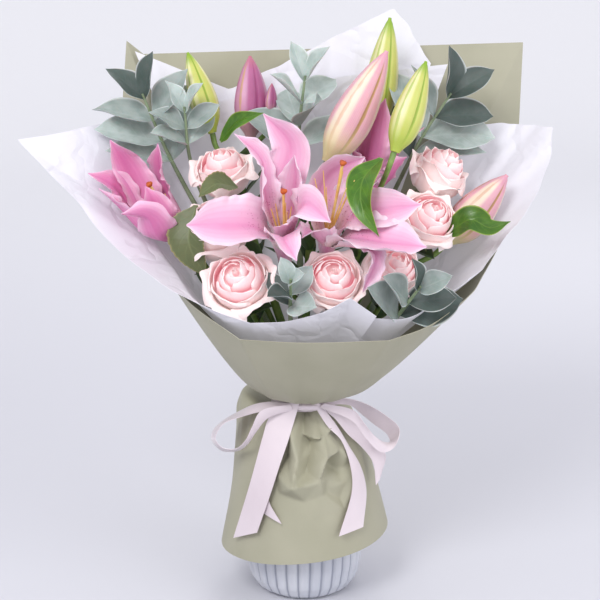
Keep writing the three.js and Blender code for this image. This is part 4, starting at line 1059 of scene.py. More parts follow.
@dataclass
class Wrapping:
    """The paper sleeve and the tissue that lines it."""

    fine: int = 12
    rim_start: Point = (205, 115, 494)
    rim_stretches: tuple = (
        (9, Edge.STRAIGHT, (-150, 106, 484)),
        (1, Edge.STRAIGHT, (-164, 97, 497)),
        (2, Edge.STRAIGHT, (-170, 88, 425)),
        (7, Edge.CURVED, (-168, 68, 385), (-150, 10, 345), (-122, -45, 314), (-96, -85, 295),
         (-53, -112, 271)),
        (4, Edge.CURVED, (0, -118, 270), (71, -108, 269)),
        (8, Edge.CURVED, (106, -90, 277), (143, -52, 293), (156, -18, 298), (192, 70, 338), (203, 108, 417)),
        (2, Edge.STRAIGHT, (205, 115, 494)),
    )
    cone_foot_z: float = 190.6
    cone_foot_r: tuple[float, ...] = (39, 37, 35, 35, 36, 38, 41, 41)
    belly: tuple[float, float] = (5, 4)
    skirt: tuple = (
        ((42, 44, 50, 56, 55, 43, 34, 37), (170, 174, 181, 187, 187, 178, 169, 168), 1),
        ((57, 58, 60, 62, 62, 57, 50, 53), (138, 138, 144, 150, 150, 145, 142, 140), 0.7),
        ((67, 67, 66, 67, 67, 65, 64, 66), (104, 104, 104, 100, 98, 102, 108, 106), 0),
        ((78, 76, 72, 74, 77, 76, 75, 76), (61, 64, 58, 50, 43, 46, 52, 57), 0),
    )
    cone_rows: int = 20
    skirt_rows: int = 85
    pleats: int = 7
    pleat_depth: float = 3.0
    folds: tuple[Point, ...] = (
        (-9, 181, 2), (1, 182, -8), (11, 184, 9), (21, 180, 3), (24, 174, 9),
        (-26, 169, -3), (-11, 165, 5), (-2, 161, 4), (7, 154, -10), (14, 161, 12), (29, 163, -8),
        (42, 170, -3),
        (-17, 143, -9), (-5, 143, 10), (6, 146, -4), (16, 145, 15), (30, 148, 4), (36, 159, -9),
        (-9, 122, 14), (2, 131, -2), (12, 126, 9), (22, 137, -8), (34, 127, -12), (43, 133, 2),
        (16, 112, 2), (34, 110, -8), (42, 113, 3),
        (-17, 178, 0), (31, 179, 0), (-31, 151, 0), (53, 151, 0), (-26, 131, 0),
        (-22, 113, 0), (0, 107, 0), (-10, 92, 0), (38, 89, 0),
    )
    fold_middle: tuple[float, float] = (6, 142)
    fold_reach: tuple[float, float] = (60, 52)
    front_y: float = -8.0
    pot_clear: float = 60.5
    pot_blend: tuple[float, float] = (18, 12)
    rim_inset: float = 7.0
    tissue_fine: int = 9
    tissue_rows: int = 60
    ripple: float = 1.7
    ripples: tuple[Point, ...] = ((1, 23, 2.2), (0.6, 51, -3), (0.4, 97, 5))
    tissues: tuple[TissueSheet, ...] = (
        TissueSheet("tissue_left", TISSUE_R, (135, 84, 478), (
            (9, Edge.STRAIGHT, (8, 84, 462), (-63, 83, 445), (-150, 66, 432), (-247, -10, 421)),
            (8, Edge.CURVED, (-200, -34, 375), (-165, -54, 338), (-118, -82, 310), (-72, -106, 293),
             (-45, -112, 285)),
            (3, Edge.CURVED, (-15, -114, 287), (15, -113, 294)),
            (2, Edge.STRAIGHT, (38, -110, 306), (60, -106, 289)))),
        TissueSheet("tissue_back", BACK_TISSUE_R, (118, 98, 476), (
            (9, Edge.STRAIGHT, (84, 102, 527), (-70, 99, 452), (-156, 90, 488)),)),
        TissueSheet("tissue_right", TISSUE_R, (58, -94, 284), (
            (5, Edge.CURVED, (86, -94, 284), (130, -62, 301), (154, -38, 312)),
            (4, Edge.CURVED, (188, -8, 344), (212, 20, 376), (228, 52, 424)),
            (4, Edge.CURVED, (212, 70, 423), (184, 82, 422), (150, 85, 421)))),
    )

    def __post_init__(self) -> None:
        """Works out the paper's rim and the facets of its crumpled front."""
        self.rim = border(self.rim_start, self.rim_stretches, self.fine)[:-1]
        (x, z), (wide, high) = self.fold_middle, self.fold_reach
        flat = [(x + wide * math.cos(a), z + high * math.sin(a), 0) for a in ring_angles(12)]
        folds = [*self.folds, *flat]
        _, _, faces, origin, _, _ = delaunay_2d_cdt([Vector(fold[:2]) for fold in folds], [], [], 0, 0.001)
        self.facets = [[np.array(folds[origin[k][0]], float) for k in face] for face in faces]

    def cone_foot(self, azimuth: float) -> np.ndarray:
        """Gives the foot of the cone at an azimuth."""
        return around(azimuth, float(compass(self.cone_foot_r, azimuth)), self.cone_foot_z)

    def cone_column(self, rim: np.ndarray, azimuth: float) -> np.ndarray:
        """Gives a column of the cone from a point of its rim down to just above its foot.

        Args:
            rim: its point of the rim.
            azimuth: the direction in radians.

        Returns:
            The column's points.
        """
        t = np.linspace(0, 0.98, self.cone_rows)[:, None]
        upper, lower = self.belly
        belly = np.sin(math.pi * t) * upper + np.sin(math.pi * t**3) * lower
        return rim + (self.cone_foot(azimuth) - rim) * t + around(azimuth, 1, -0.6) * belly

    def skirt_column(self, start: np.ndarray, azimuth: float) -> np.ndarray:
        """Gives a column from the end of the cone through the waist to the hem.

        Args:
            start: where the cone ends.
            azimuth: the direction in radians.

        Returns:
            The column's points.
        """
        waist = [around(azimuth, PAPER_R, z) for z in (WAIST_HIGH, WAIST_LOW)]
        knots = [start, self.cone_foot(azimuth), *waist]
        front = max(math.cos(azimuth + math.pi / 2), 0)
        for radii, heights, share in self.skirt:
            pleat = math.cos(self.pleats * 2 * azimuth) * self.pleat_depth * front * share
            r, z = float(compass(radii, azimuth)), float(compass(heights, azimuth))
            knots.append(around(azimuth, r + pleat, z))
        return Route(knots, samples=120).at(np.linspace(0, 1, self.skirt_rows + 1)[1:])

    def gather(self, azimuth: float, z: np.ndarray) -> np.ndarray:
        """Gives how far the small gathers push the paper outwards near the tie."""
        near = np.exp(-(((z - TIE_Z) / 30) ** 2)) * (1 - np.exp(-(((z - TIE_Z) / 9) ** 2)))
        return near * (1.3 * math.sin(17 * azimuth + 0.4) + 0.8 * math.sin(29 * azimuth + 1.7))

    def crumple(self, column: np.ndarray) -> np.ndarray:
        """Gives how far the facets of the crumpled front push each point of a column outwards.

        Args:
            column: the column's points.

        Returns:
            The push of each point in millimetres.
        """
        push = np.zeros(len(column))
        for a, b, c in self.facets:
            edges = np.stack([b[:2] - a[:2], c[:2] - a[:2]], axis=-1)
            if abs(np.linalg.det(edges)) < 1:
                continue
            share = np.linalg.solve(edges, (column[:, [0, 2]] - a[:2]).T)
            inside = (share.min(axis=0) >= 0) & (share.sum(axis=0) <= 1) & (column[:, 1] < self.front_y)
            push[inside] = (a[2] + share[0] * (b[2] - a[2]) + share[1] * (c[2] - a[2]))[inside]
        return push

    def clear_pot(self, column: np.ndarray) -> np.ndarray:
        """Gives how far each point of a column has to move outwards to hang clear of the pot.

        Args:
            column: the column's points.

        Returns:
            The move of each point in millimetres.
        """
        above, blend = self.pot_blend
        short = np.maximum(self.pot_clear - np.hypot(column[:, 0], column[:, 1]), 0)
        return short * np.clip((POT_HEIGHT + above - column[:, 2]) / blend, 0, 1)

    def paper_column(self, rim: np.ndarray) -> np.ndarray:
        """Gives a column of the paper from a point of its rim to the hem.

        Args:
            rim: its point of the rim.

        Returns:
            The column's points.
        """
        azimuth = math.atan2(rim[1], rim[0])
        outwards = around(azimuth, 1, 0)
        cone = self.cone_column(rim, azimuth)
        column = np.concatenate([cone, self.skirt_column(cone[-1], azimuth)])
        column = column + np.outer(self.gather(azimuth, column[:, 2]) + self.crumple(column), outwards)
        return column + np.outer(self.clear_pot(column), outwards)

    def rim_at(self, azimuth: float) -> np.ndarray:
        """Gives the paper rim's point at an azimuth.

        Args:
            azimuth: the direction in radians.

        Returns:
            The point.
        """
        ways = np.arctan2(self.rim[:, 1], self.rim[:, 0])
        spans = np.mod(np.roll(ways, -1) - ways, math.tau)
        into = np.mod(azimuth - ways, math.tau)
        i = int(np.argmax((spans < math.pi) & (into <= spans)))
        before, after = self.rim[i], self.rim[(i + 1) % len(self.rim)]
        return before + (after - before) * into[i] / max(spans[i], 1e-9)

    def tissue_route(self, rim: np.ndarray, waist_r: float) -> Route:
        """Gives a column of tissue, bent inside the paper's rim where it would cross it.

        Args:
            rim: its point of the tissue's border.
            waist_r: the tissue's radius at the waist.

        Returns:
            The route, from the tie up.
        """
        azimuth = math.atan2(rim[1], rim[0])
        waist = around(azimuth, waist_r, WAIST_HIGH)
        inside = self.rim_at(azimuth) - around(azimuth, self.rim_inset, -1)
        straight = waist + (rim - waist) * (inside[2] - WAIST_HIGH) / (rim[2] - WAIST_HIGH)
        fits = rim[2] < inside[2] or math.hypot(*straight[:2]) < math.hypot(*inside[:2])
        bend = waist + (rim - waist) * 0.75 if fits else inside
        foot = around(azimuth, waist_r, WAIST_LOW + 2)
        return Route([foot, waist, waist + (bend - waist) * 0.5, bend, rim], smooth=False)

    def build_tissue(self, sheet: TissueSheet, wardrobe: Wardrobe, rng: random.Random) -> None:
        """Builds one sheet of tissue with soft ripples towards its border.

        Args:
            sheet: the sheet.
            wardrobe: the finishes.
            rng: the seeded random source.
        """
        rim = border(sheet.start, sheet.stretches, self.tissue_fine)
        phases = [rng.uniform(0, 6) for _ in range(4)]  # the fourth only keeps later draws in step
        t = np.linspace(1, 0, self.tissue_rows + 1)
        columns = []
        for j, place in enumerate(rim):
            x = j / len(rim)
            waves = [
                high * np.sin(count * x + phases[k] + lean * t)
                for k, (high, count, lean) in enumerate(self.ripples)]
            push = (sum(waves) * self.ripple * t**2 * np.minimum(1, 2 * t))[:, None]
            outwards = around(math.atan2(place[1], place[0]), 1, 0)
            route = self.tissue_route(place, sheet.waist_r)
            columns.append(route.at(t) + outwards * (push - 0.8 * t[:, None]) + UP * 0.3 * push)
        part = Shape()
        part.sheet(np.stack(columns, axis=1), TISSUE_THICK)
        part.piece(sheet.name + "_sheet", wardrobe.get("tissue"), "tissue", sheet.name)

    def build(self, wardrobe: Wardrobe, rng: random.Random) -> None:
        """Builds the paper and the tissue.

        Args:
            wardrobe: the finishes.
            rng: the seeded random source.
        """
        part = Shape()
        part.sheet(np.stack([self.paper_column(rim) for rim in self.rim], axis=1), PAPER_THICK, closed=True)
        part.piece("paper_wrap", wardrobe.get("paper"), "wrapping_paper", "wrap_paper")
        for sheet in self.tissues:
            self.build_tissue(sheet, wardrobe, rng)


@dataclass
class Room:
    """The space inside the wrapping, which the low leaves keep to."""

    wrapping: Wrapping
    share: float = 0.84

    def hold(self, grid: np.ndarray) -> np.ndarray:
        """Draws the points of a grid in that would reach the tissue or the paper.

        Args:
            grid: rows by columns by 3.

        Returns:
            The grid with those points drawn in.
        """
        x, y, z = self.wrapping.rim.T
        foot_z = self.wrapping.cone_foot_z
        azimuth = np.arctan2(grid[..., 1], grid[..., 0])
        rim_r, rim_z = (np.interp(azimuth, np.arctan2(y, x), v, period=math.tau) for v in (np.hypot(x, y), z))
        foot_r = compass(self.wrapping.cone_foot_r, azimuth)
        up = np.clip((grid[..., 2] - foot_z) / (rim_z - foot_z), 0, 1)
        limit = self.share * (foot_r + (rim_r - foot_r) * up)
        reach = np.hypot(grid[..., 0], grid[..., 1])
        held = grid.copy()
        held[..., :2] *= np.minimum(1, limit / np.maximum(reach, 1))[..., None]
        return held


@dataclass
class Ribbon:
    """The satin ribbon: a band, a knot, two loops and four tails, each strip given by its two edges."""

    strips: tuple = (
        (((-20, -37, 190), (-31, -40, 178), (-37, -45, 160), (-43, -49, 138), (-50, -49, 112),
          (-64, -46, 64)),
         ((-4, -40, 191), (-9, -43, 174), (-14, -50, 159), (-21, -57, 140), (-29, -63, 116),
          (-42, -64, 77))),
        (((-16, -35, 188), (-36, -40, 159), (-41, -46, 136), (-41, -52, 112), (-36, -60, 94)),
         ((-4, -36, 188), (-18, -46, 157), (-27, -54, 132), (-32, -60, 109), (-20, -70, 88))),
        (((8, -39, 190), (21, -40, 169), (33, -40, 156), (41, -44, 135), (43, -54, 115), (31, -72, 77)),
         ((14, -38, 190), (30, -36, 167), (40, -38, 150), (51, -38, 130), (56, -43, 110), (53, -58, 80))),
        (((11, -36, 188), (27, -35, 175), (39, -35, 160), (51, -34, 148), (62, -35, 133), (65, -38, 112)),
         ((20, -34, 188), (41, -30, 177), (56, -29, 165), (67, -26, 149), (74, -26, 136), (70, -32, 120))),
        (((10, -38, 190), (37, -31, 192), (57, -24, 184), (75, -22, 172), (85, -26, 164), (86, -32, 159),
          (80, -40, 148), (69, -44, 146), (55, -46, 160), (43, -46, 176), (14, -41, 187)),
         ((14, -34, 186), (40, -25, 184), (53, -18, 172), (64, -16, 162), (75, -18, 154), (78, -24, 149),
          (70, -38, 154), (61, -46, 164), (54, -48, 174), (44, -46, 186), (18, -41, 191))),
        (((-8, -36, 190), (-30, -34, 190), (-45, -30, 186), (-62, -22, 175), (-74, -18, 166),
          (-83, -16, 156),
          (-84, -16, 147), (-76, -18, 138), (-62, -26, 140), (-50, -44, 154), (-43, -48, 166),
          (-32, -46, 179),
          (-10, -41, 185)),
         ((-8, -40, 186), (-35, -42, 184), (-48, -42, 181), (-60, -44, 178), (-71, -43, 173),
          (-78, -42, 163),
          (-79, -42, 157), (-73, -43, 150), (-61, -46, 150), (-52, -52, 160), (-46, -54, 173),
          (-38, -50, 187),
          (-12, -41, 190))),
    )
    knot_place: Point = (3, -36.5, 186.5)
    knot_half: Point = (11, 4.5, 4)
    band_half: float = 5.0
    band_lift: float = 0.5
    crown: float = 0.7
    rows: int = 14

    def strip(self, edges: tuple) -> np.ndarray:
        """Gives a strip's surface, slightly crowned across its width.

        Args:
            edges: its two edges.

        Returns:
            The strip's grid.
        """
        left, right = (Route(list(edge)) for edge in edges)
        steps = self.rows * (len(edges[0]) - 1)
        t = np.linspace(0, 1, steps + 1)
        a, b = (np.array([edge.by_knots(x) for x in t])[:, None] for edge in (left, right))
        v = np.linspace(0, 1, 9)[:, None]
        grid = a + (b - a) * v
        return grid + grid_normals(grid, False) * self.crown * (1 - (2 * v - 1) ** 2)

    def band(self) -> np.ndarray:
        """Gives the band round the waist, with faint folds.

        Returns:
            The band's grid.
        """
        angles = ring_angles(96)
        middle = (WAIST_LOW + WAIST_HIGH) / 2 + self.band_lift
        z = middle + np.linspace(-self.band_half, self.band_half, 7)[:, None]
        return turned(RIBBON_R + 0.2 * np.sin(9 * angles), z, angles)

    def knot(self) -> np.ndarray:
        """Gives the rings of the knot, which lies along X.

        Returns:
            The rings.
        """
        width, depth, height = self.knot_half
        x, angle = np.linspace(-1, 1, 17)[:, None], ring_angles(40)
        swell = (0.55 + 0.45 * (1 - x**4)) * (1 + 0.05 * np.cos(7 * angle))
        rings = np.broadcast_arrays(x * width, swell * depth * np.cos(angle), swell * height * np.sin(angle))
        return np.stack(rings, axis=-1) + np.asarray(self.knot_place)

    def build(self, wardrobe: Wardrobe) -> None:
        """Builds the whole bow.

        Args:
            wardrobe: the finishes.
        """
        part = Shape()
        for k, edges in enumerate(self.strips):
            part.sheet(self.strip(edges), RIBBON_THICK, tone=k / len(self.strips))
        part.sheet(self.band(), RIBBON_THICK, closed=True)
        part.loft(self.knot())
        part.piece("ribbon_bow", wardrobe.get("satin"), "ribbon", "ribbon")


@dataclass
class Pot:
    """The fluted pot, with its water and the twine round the stems as they are in the frame.

    The wall is given by radius, height and how deep the flutes are there.
    """

    outside: tuple[Point, ...] = (
        (0, 0, 0), (POT_FOOT_R - 1, 0, 0), (POT_FOOT_R, 0.6, 0), (POT_FOOT_R + 6.5, 5, 0.7),
        (POT_FOOT_R + 12, 14, 1), (POT_BELLY_R, 30, 1), (POT_RIM_R, POT_HEIGHT - 8, 1),
        (POT_RIM_R + 0.4, POT_HEIGHT - 4, 0.3), (POT_RIM_R + 0.8, POT_HEIGHT - 1, 0),
    )
    inside: tuple[Point, ...] = (
        (POT_RIM_R - 1, POT_HEIGHT, 0), (POT_RIM_R - POT_WALL, POT_HEIGHT - 2, 0),
        (POT_BELLY_R - POT_WALL, 30, 0), (POT_FOOT_R + 6, 14, 0), (POT_FOOT_R + 1, POT_FLOOR, 0),
        (0, POT_FLOOR, 0),
    )
    fine: int = 4
    flute_sides: int = 12
    flute_power: int = 4

    def wall(self) -> np.ndarray:
        """Gives the rings of the wall, from the foot's middle over the rim to the floor's middle.

        Returns:
            The rings.
        """
        knots = np.array([*self.outside, *self.inside])
        last = len(knots) - 1
        at = np.arange(1, self.fine * last + 1) / self.fine
        r, z, flute = (np.interp(at, np.arange(last + 1), column)[:, None] for column in knots.T)
        angles = ring_angles(FLUTES * self.flute_sides)
        groove = flute * FLUTE_DEPTH * (0.5 + 0.5 * np.cos(FLUTES * angles)) ** self.flute_power
        return turned(r - groove, z, angles)

    def build(self, wardrobe: Wardrobe) -> None:
        """Builds the pot as one turned wall and finishes the hidden solids.

        Args:
            wardrobe: the finishes.
        """
        part = Shape()
        # The across mark swings once a flute, so the glaze finish can paint shade into the grooves.
        part.loft(self.wall(), waves=FLUTES)
        part.piece("pot_body", wardrobe.get("glaze"), "pot", "pot")
        for node in ("water", "twine"):
            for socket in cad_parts[node].material_slots:
                socket.material = wardrobe.get(node)


# Stems and blades


def tie_slot(slot: int) -> np.ndarray:
    """Gives a stem's place in the close pack at the tie.

    Args:
        slot: the place's number, from 0 in the middle outwards.

    Returns:
        The point.
    """
    if slot == 0:
        return np.array([0, 0, TIE_Z])
    ring, k = (1, slot - 1) if slot <= 6 else (2, slot - 7)
    corners = [around(math.radians(60 * (k // ring + i)), ring * STEM_PITCH, TIE_Z) for i in (0, 1)]
    return corners[0] + (corners[1] - corners[0]) * (k % ring) / ring


def stem_foot(slot: int) -> tuple[np.ndarray, np.ndarray]:
    """Gives a stem's cut end and the top of its straight stretch.

    Args:
        slot: the stem's place in the tie.

    Returns:
        Both points.
    """
    tie = tie_slot(slot)
    cut = tie * SPREAD_BELOW
    cut[2] = POT_FLOOR + FIT_GAP
    return cut, cut + (tie - cut) * (STRAIGHT_TOP - cut[2]) / (TIE_Z - cut[2])


def stem_route(slot: int, head: Point, axis: Point, lead: float) -> Route:
    """Gives the upper part of a stem, from its straight stretch to the foot of its head.

    Args:
        slot: its place in the tie.
        head: where it ends.
        axis: which way it points there.
        lead: how far from the end it starts to point that way.

    Returns:
        The route.
    """
    tie = tie_slot(slot)
    high = tie * SPREAD_ABOVE
    high[2] = TIE_Z + TIE_CLEAR
    before = np.asarray(head) - unit(np.asarray(axis, float)) * lead
    return Route([stem_foot(slot)[1], tie, high, before, np.asarray(head)])


def arc_path(base: np.ndarray, along: np.ndarray, face: np.ndarray, length: float, bend: float) -> list:
    """Gives the arc of a leaf that bends away from its upper face.

    Args:
        base: its foot.
        along: its direction there.
        face: the way its upper face looks.
        length: its length.
        bend: how far it bends, in degrees.

    Returns:
        The arc's points.
    """
    ahead = unit(along)
    down = -unit(np.cross(np.cross(ahead, face), ahead))
    steps = 4
    path = [np.asarray(base, float)]
    for i in range(steps):
        a = math.radians(bend) * ((i + 0.5) / steps) ** 1.5
        path.append(path[-1] + (ahead * math.cos(a) + down * math.sin(a)) * length / steps)
    return path


def beside(ahead: np.ndarray, angle: float) -> np.ndarray:
    """Gives the direction square to a stem at an angle in radians round it."""
    return turn_about(unit(np.cross(EAST, ahead)), ahead, angle)


SILVER_SHAPE = (0.06, 0.58, 0.95, 1, 0.84, 0.5, 0.02)
LILY_LEAF_SHAPE = (0.2, 0.72, 0.98, 0.96, 0.74, 0.4, 0.02)
ROSE_LEAF_SHAPE = (0.1, 0.78, 1, 0.92, 0.7, 0.38, 0.02)
TEPAL_SHAPE = (0.28, 0.62, 0.88, 1, 0.92, 0.62, 0.03)
SEPAL_SHAPE = (0.8, 1, 0.8, 0.5, 0.25, 0.02)


@dataclass(frozen=True)
class BladeForm:
    """How a petal or leaf is shaped along its path."""

    shape: tuple[float, ...]
    width: float
    cup: float = 0.3
    twist: float = 0.0
    wave: float = 0.0
    waves: float = 2.5
    phase: float = 0.0
    groove: float = 0.0
    ruffle: float = 0.0
    ruffles: float = 3.7
    teeth: int = 0
    tooth_depth: float = 0.07
    roll: float = 0.0
    roll_from: float = 0.6

    def lift(self, t: float, v: np.ndarray, half: float) -> np.ndarray:
        """Gives how far the margin's ripples, the ruffle, the groove and the roll lift a row of points.

        Args:
            t: the row's share of the length.
            v: places across the row, from -1 to 1.
            half: half the row's width.

        Returns:
            The lift of each point, as it is where the blade is widest.
        """
        side = np.where(v > 0, 1.9, 0)
        turn = math.tau * self.waves * t
        wave = self.wave * np.sin(turn + self.phase + side) * np.abs(v) ** 3
        ruffle = self.ruffle * np.sin(self.ruffles * turn + 2.3 * self.phase + 4 * v) * v**6
        groove = self.groove * np.exp(-((v / 0.16) ** 2)) * min(1, 4 * t) * min(1, 3 * (1 - t))
        roll = self.roll * np.maximum(np.abs(v) - self.roll_from, 0) ** 2 * half * 2
        return wave + ruffle - groove - roll

    def grid(self, path: list, face: np.ndarray, rows: int, columns: int) -> np.ndarray:
        """Gives the blade's surface as a grid.

        Args:
            path: its middle line.
            face: the way its upper face looks at its foot.
            rows: its steps along.
            columns: its steps across.

        Returns:
            The grid.
        """
        route = Route(path, samples=120)
        up = np.asarray(face, float)
        v = np.linspace(-1, 1, columns + 1)[:, None]
        grid = []
        for t in np.linspace(0, 1, rows + 1):
            ahead = route.heading(t)
            side = unit(np.cross(ahead, up))
            up = np.cross(side, ahead)
            twist = math.radians(self.twist) * t
            half = self.width / 2 * float(profile(self.shape, t))
            if self.teeth:
                tooth = 1 - (t * self.teeth) % 1
                half *= 1 - self.tooth_depth * tooth * min(1, 8 * t) * min(1, 8 * (1 - t))
            lift = half * (self.cup * v * v + self.lift(t, v, half) / (self.width / 2))
            out = half * v * (1 - 0.3 * self.cup * v * v)
            across, upwards = (turn_about(way, ahead, twist) for way in (side, up))
            grid.append(route.at(t) + across * out + upwards * lift)
        return np.array(grid)


def shown_leaves(
    part: Shape, leaves: list, form: BladeForm, rows: int, thick: float, tones: Span, rng: random.Random
) -> None:
    """Adds the leaves of a stem that the photo shows.

    Args:
        part: what they are added to.
        leaves: for each one its path, the way its upper face looks, its width and its twist.
        form: how they are shaped.
        rows: the steps along a leaf.
        thick: the thickness of a leaf.
        tones: how much of a leaf's tone is drawn, and how much each leaf adds to the next one's.
        rng: the seeded random source.
    """
    drawn, step = tones
    for k, (path, face, width, twist) in enumerate(leaves):
        grid = replace(form, width=width, twist=twist).grid(path, np.asarray(face, float), rows, 14)
        part.blade(grid, rng.random() * drawn + step * k, thick)


def low_leaves(route: Route, count: int, shares: Span, size: Span, room: Room, rng: random.Random) -> Shape:
    """Builds the leaves that grow low on a stem, in a rising spiral; their dark green is partly their own
    colour and partly painted shade for the inside of the bouquet.

    Args:
        route: the stem.
        count: how many leaves it has.
        shares: where on the stem the first and the last one grow.
        size: a leaf's length and width.
        room: the space that the wrapping leaves.
        rng: the seeded random source.

    Returns:
        The leaves.
    """
    leaves = Shape()
    for k in range(count):
        share = shares[0] + (shares[1] - shares[0]) * k / (count - 1)
        ahead = route.heading(share)
        out = beside(ahead, math.radians(GOLDEN_TURN * k) + rng.uniform(-0.4, 0.4))
        along, face = ahead * 0.75 + out * 0.65, ahead * 0.65 - out * 0.75
        length = size[0] * rng.uniform(0.85, 1.15)
        twist, phase = rng.uniform(-15, 15), rng.uniform(0, 6)
        form = BladeForm(LILY_LEAF_SHAPE, size[1], 0.25, twist, 1.2, 1.5, phase, 0.8)
        path = arc_path(route.at(share), along, face, length, rng.uniform(15, 45))
        leaves.blade(room.hold(form.grid(path, face, 22, 10)), rng.random())
    return leaves


# Flowers and sprays


@dataclass
class Spray:
    """A silver-leaved spray: its stem and its pairs of leaves."""

    name: str
    slot: int
    head: Point
    axis: Point
    pairs: int
    leaf: float
    roll: float
    turn: float
    radii: tuple[float, ...] = (STEM_R, STEM_R, 3.4, 2.4, 1.8, 1.1)
    lead: float = 60.0
    first_leaf: float = 6.0
    pair_step: float = 0.44
    fullness: float = 1.3
    openings: Span = (24, 52)
    light: Point = (0, -1, 0.5)
    tones: tuple[float, ...] = (0.0, 0.35, 1.0)

    def leaf_grid(self, base: np.ndarray, along: np.ndarray, face: np.ndarray, size: float,
                  rng: random.Random) -> np.ndarray:
        """Gives one leaf's surface.

        Args:
            base: where it leaves the stem.
            along: its direction there.
            face: the way its upper face looks.
            size: its length.
            rng: the seeded random source.

        Returns:
            The leaf's grid.
        """
        width, twist = size * rng.uniform(0.58, 0.78), 12 + rng.uniform(-25, 25)
        form = BladeForm(SILVER_SHAPE, width, 0.32, twist, 1.6, 1.3, rng.uniform(0, 6), 0.7)
        return form.grid(arc_path(base, along, face, size, 22 + rng.uniform(-14, 14)), face, 20, 10)

    def build(self, wardrobe: Wardrobe, rng: random.Random) -> None:
        """Builds the stem and the leaves.

        Args:
            wardrobe: the finishes.
            rng: the seeded random source.
        """
        route = stem_route(self.slot, self.head, self.axis, self.lead)
        stem, leaves = Shape(), Shape()
        stem.tube(route, self.radii, 50, 12, stem_foot(self.slot)[0])
        for k in range(self.pairs):
            at = 1 - (self.first_leaf + k * self.leaf * self.pair_step) / route.length
            base, ahead = route.at(at), route.heading(at)
            size = self.leaf * self.fullness * (0.72 + 0.14 * min(k, 2)) * rng.uniform(0.88, 1.12)
            opening = math.radians(self.openings[min(k, 1)])
            for half in (0, 180):
                out = beside(ahead, math.radians(self.roll + half + self.turn * k))
                along = ahead * math.cos(opening) + out * math.sin(opening)
                face = ahead * math.sin(opening) - out * math.cos(opening) + self.light
                leaves.blade(self.leaf_grid(base, along, face, size, rng), rng.choice(self.tones))
        leaves.piece(self.name + "_leaves", wardrobe.get("silver"), "silver_leaf", self.name)
        stem.piece(self.name + "_stem", wardrobe.get("silver_stem"), "silver_leaf", self.name)


@dataclass(frozen=True)
class PetalRing:
    """One ring of a rose's petals, in units of the bloom's size."""

    count: int
    span: float
    turn: float
    drop: float
    radii: tuple[float, ...]
    heights: tuple[float, ...]
    curl: float
    point: float


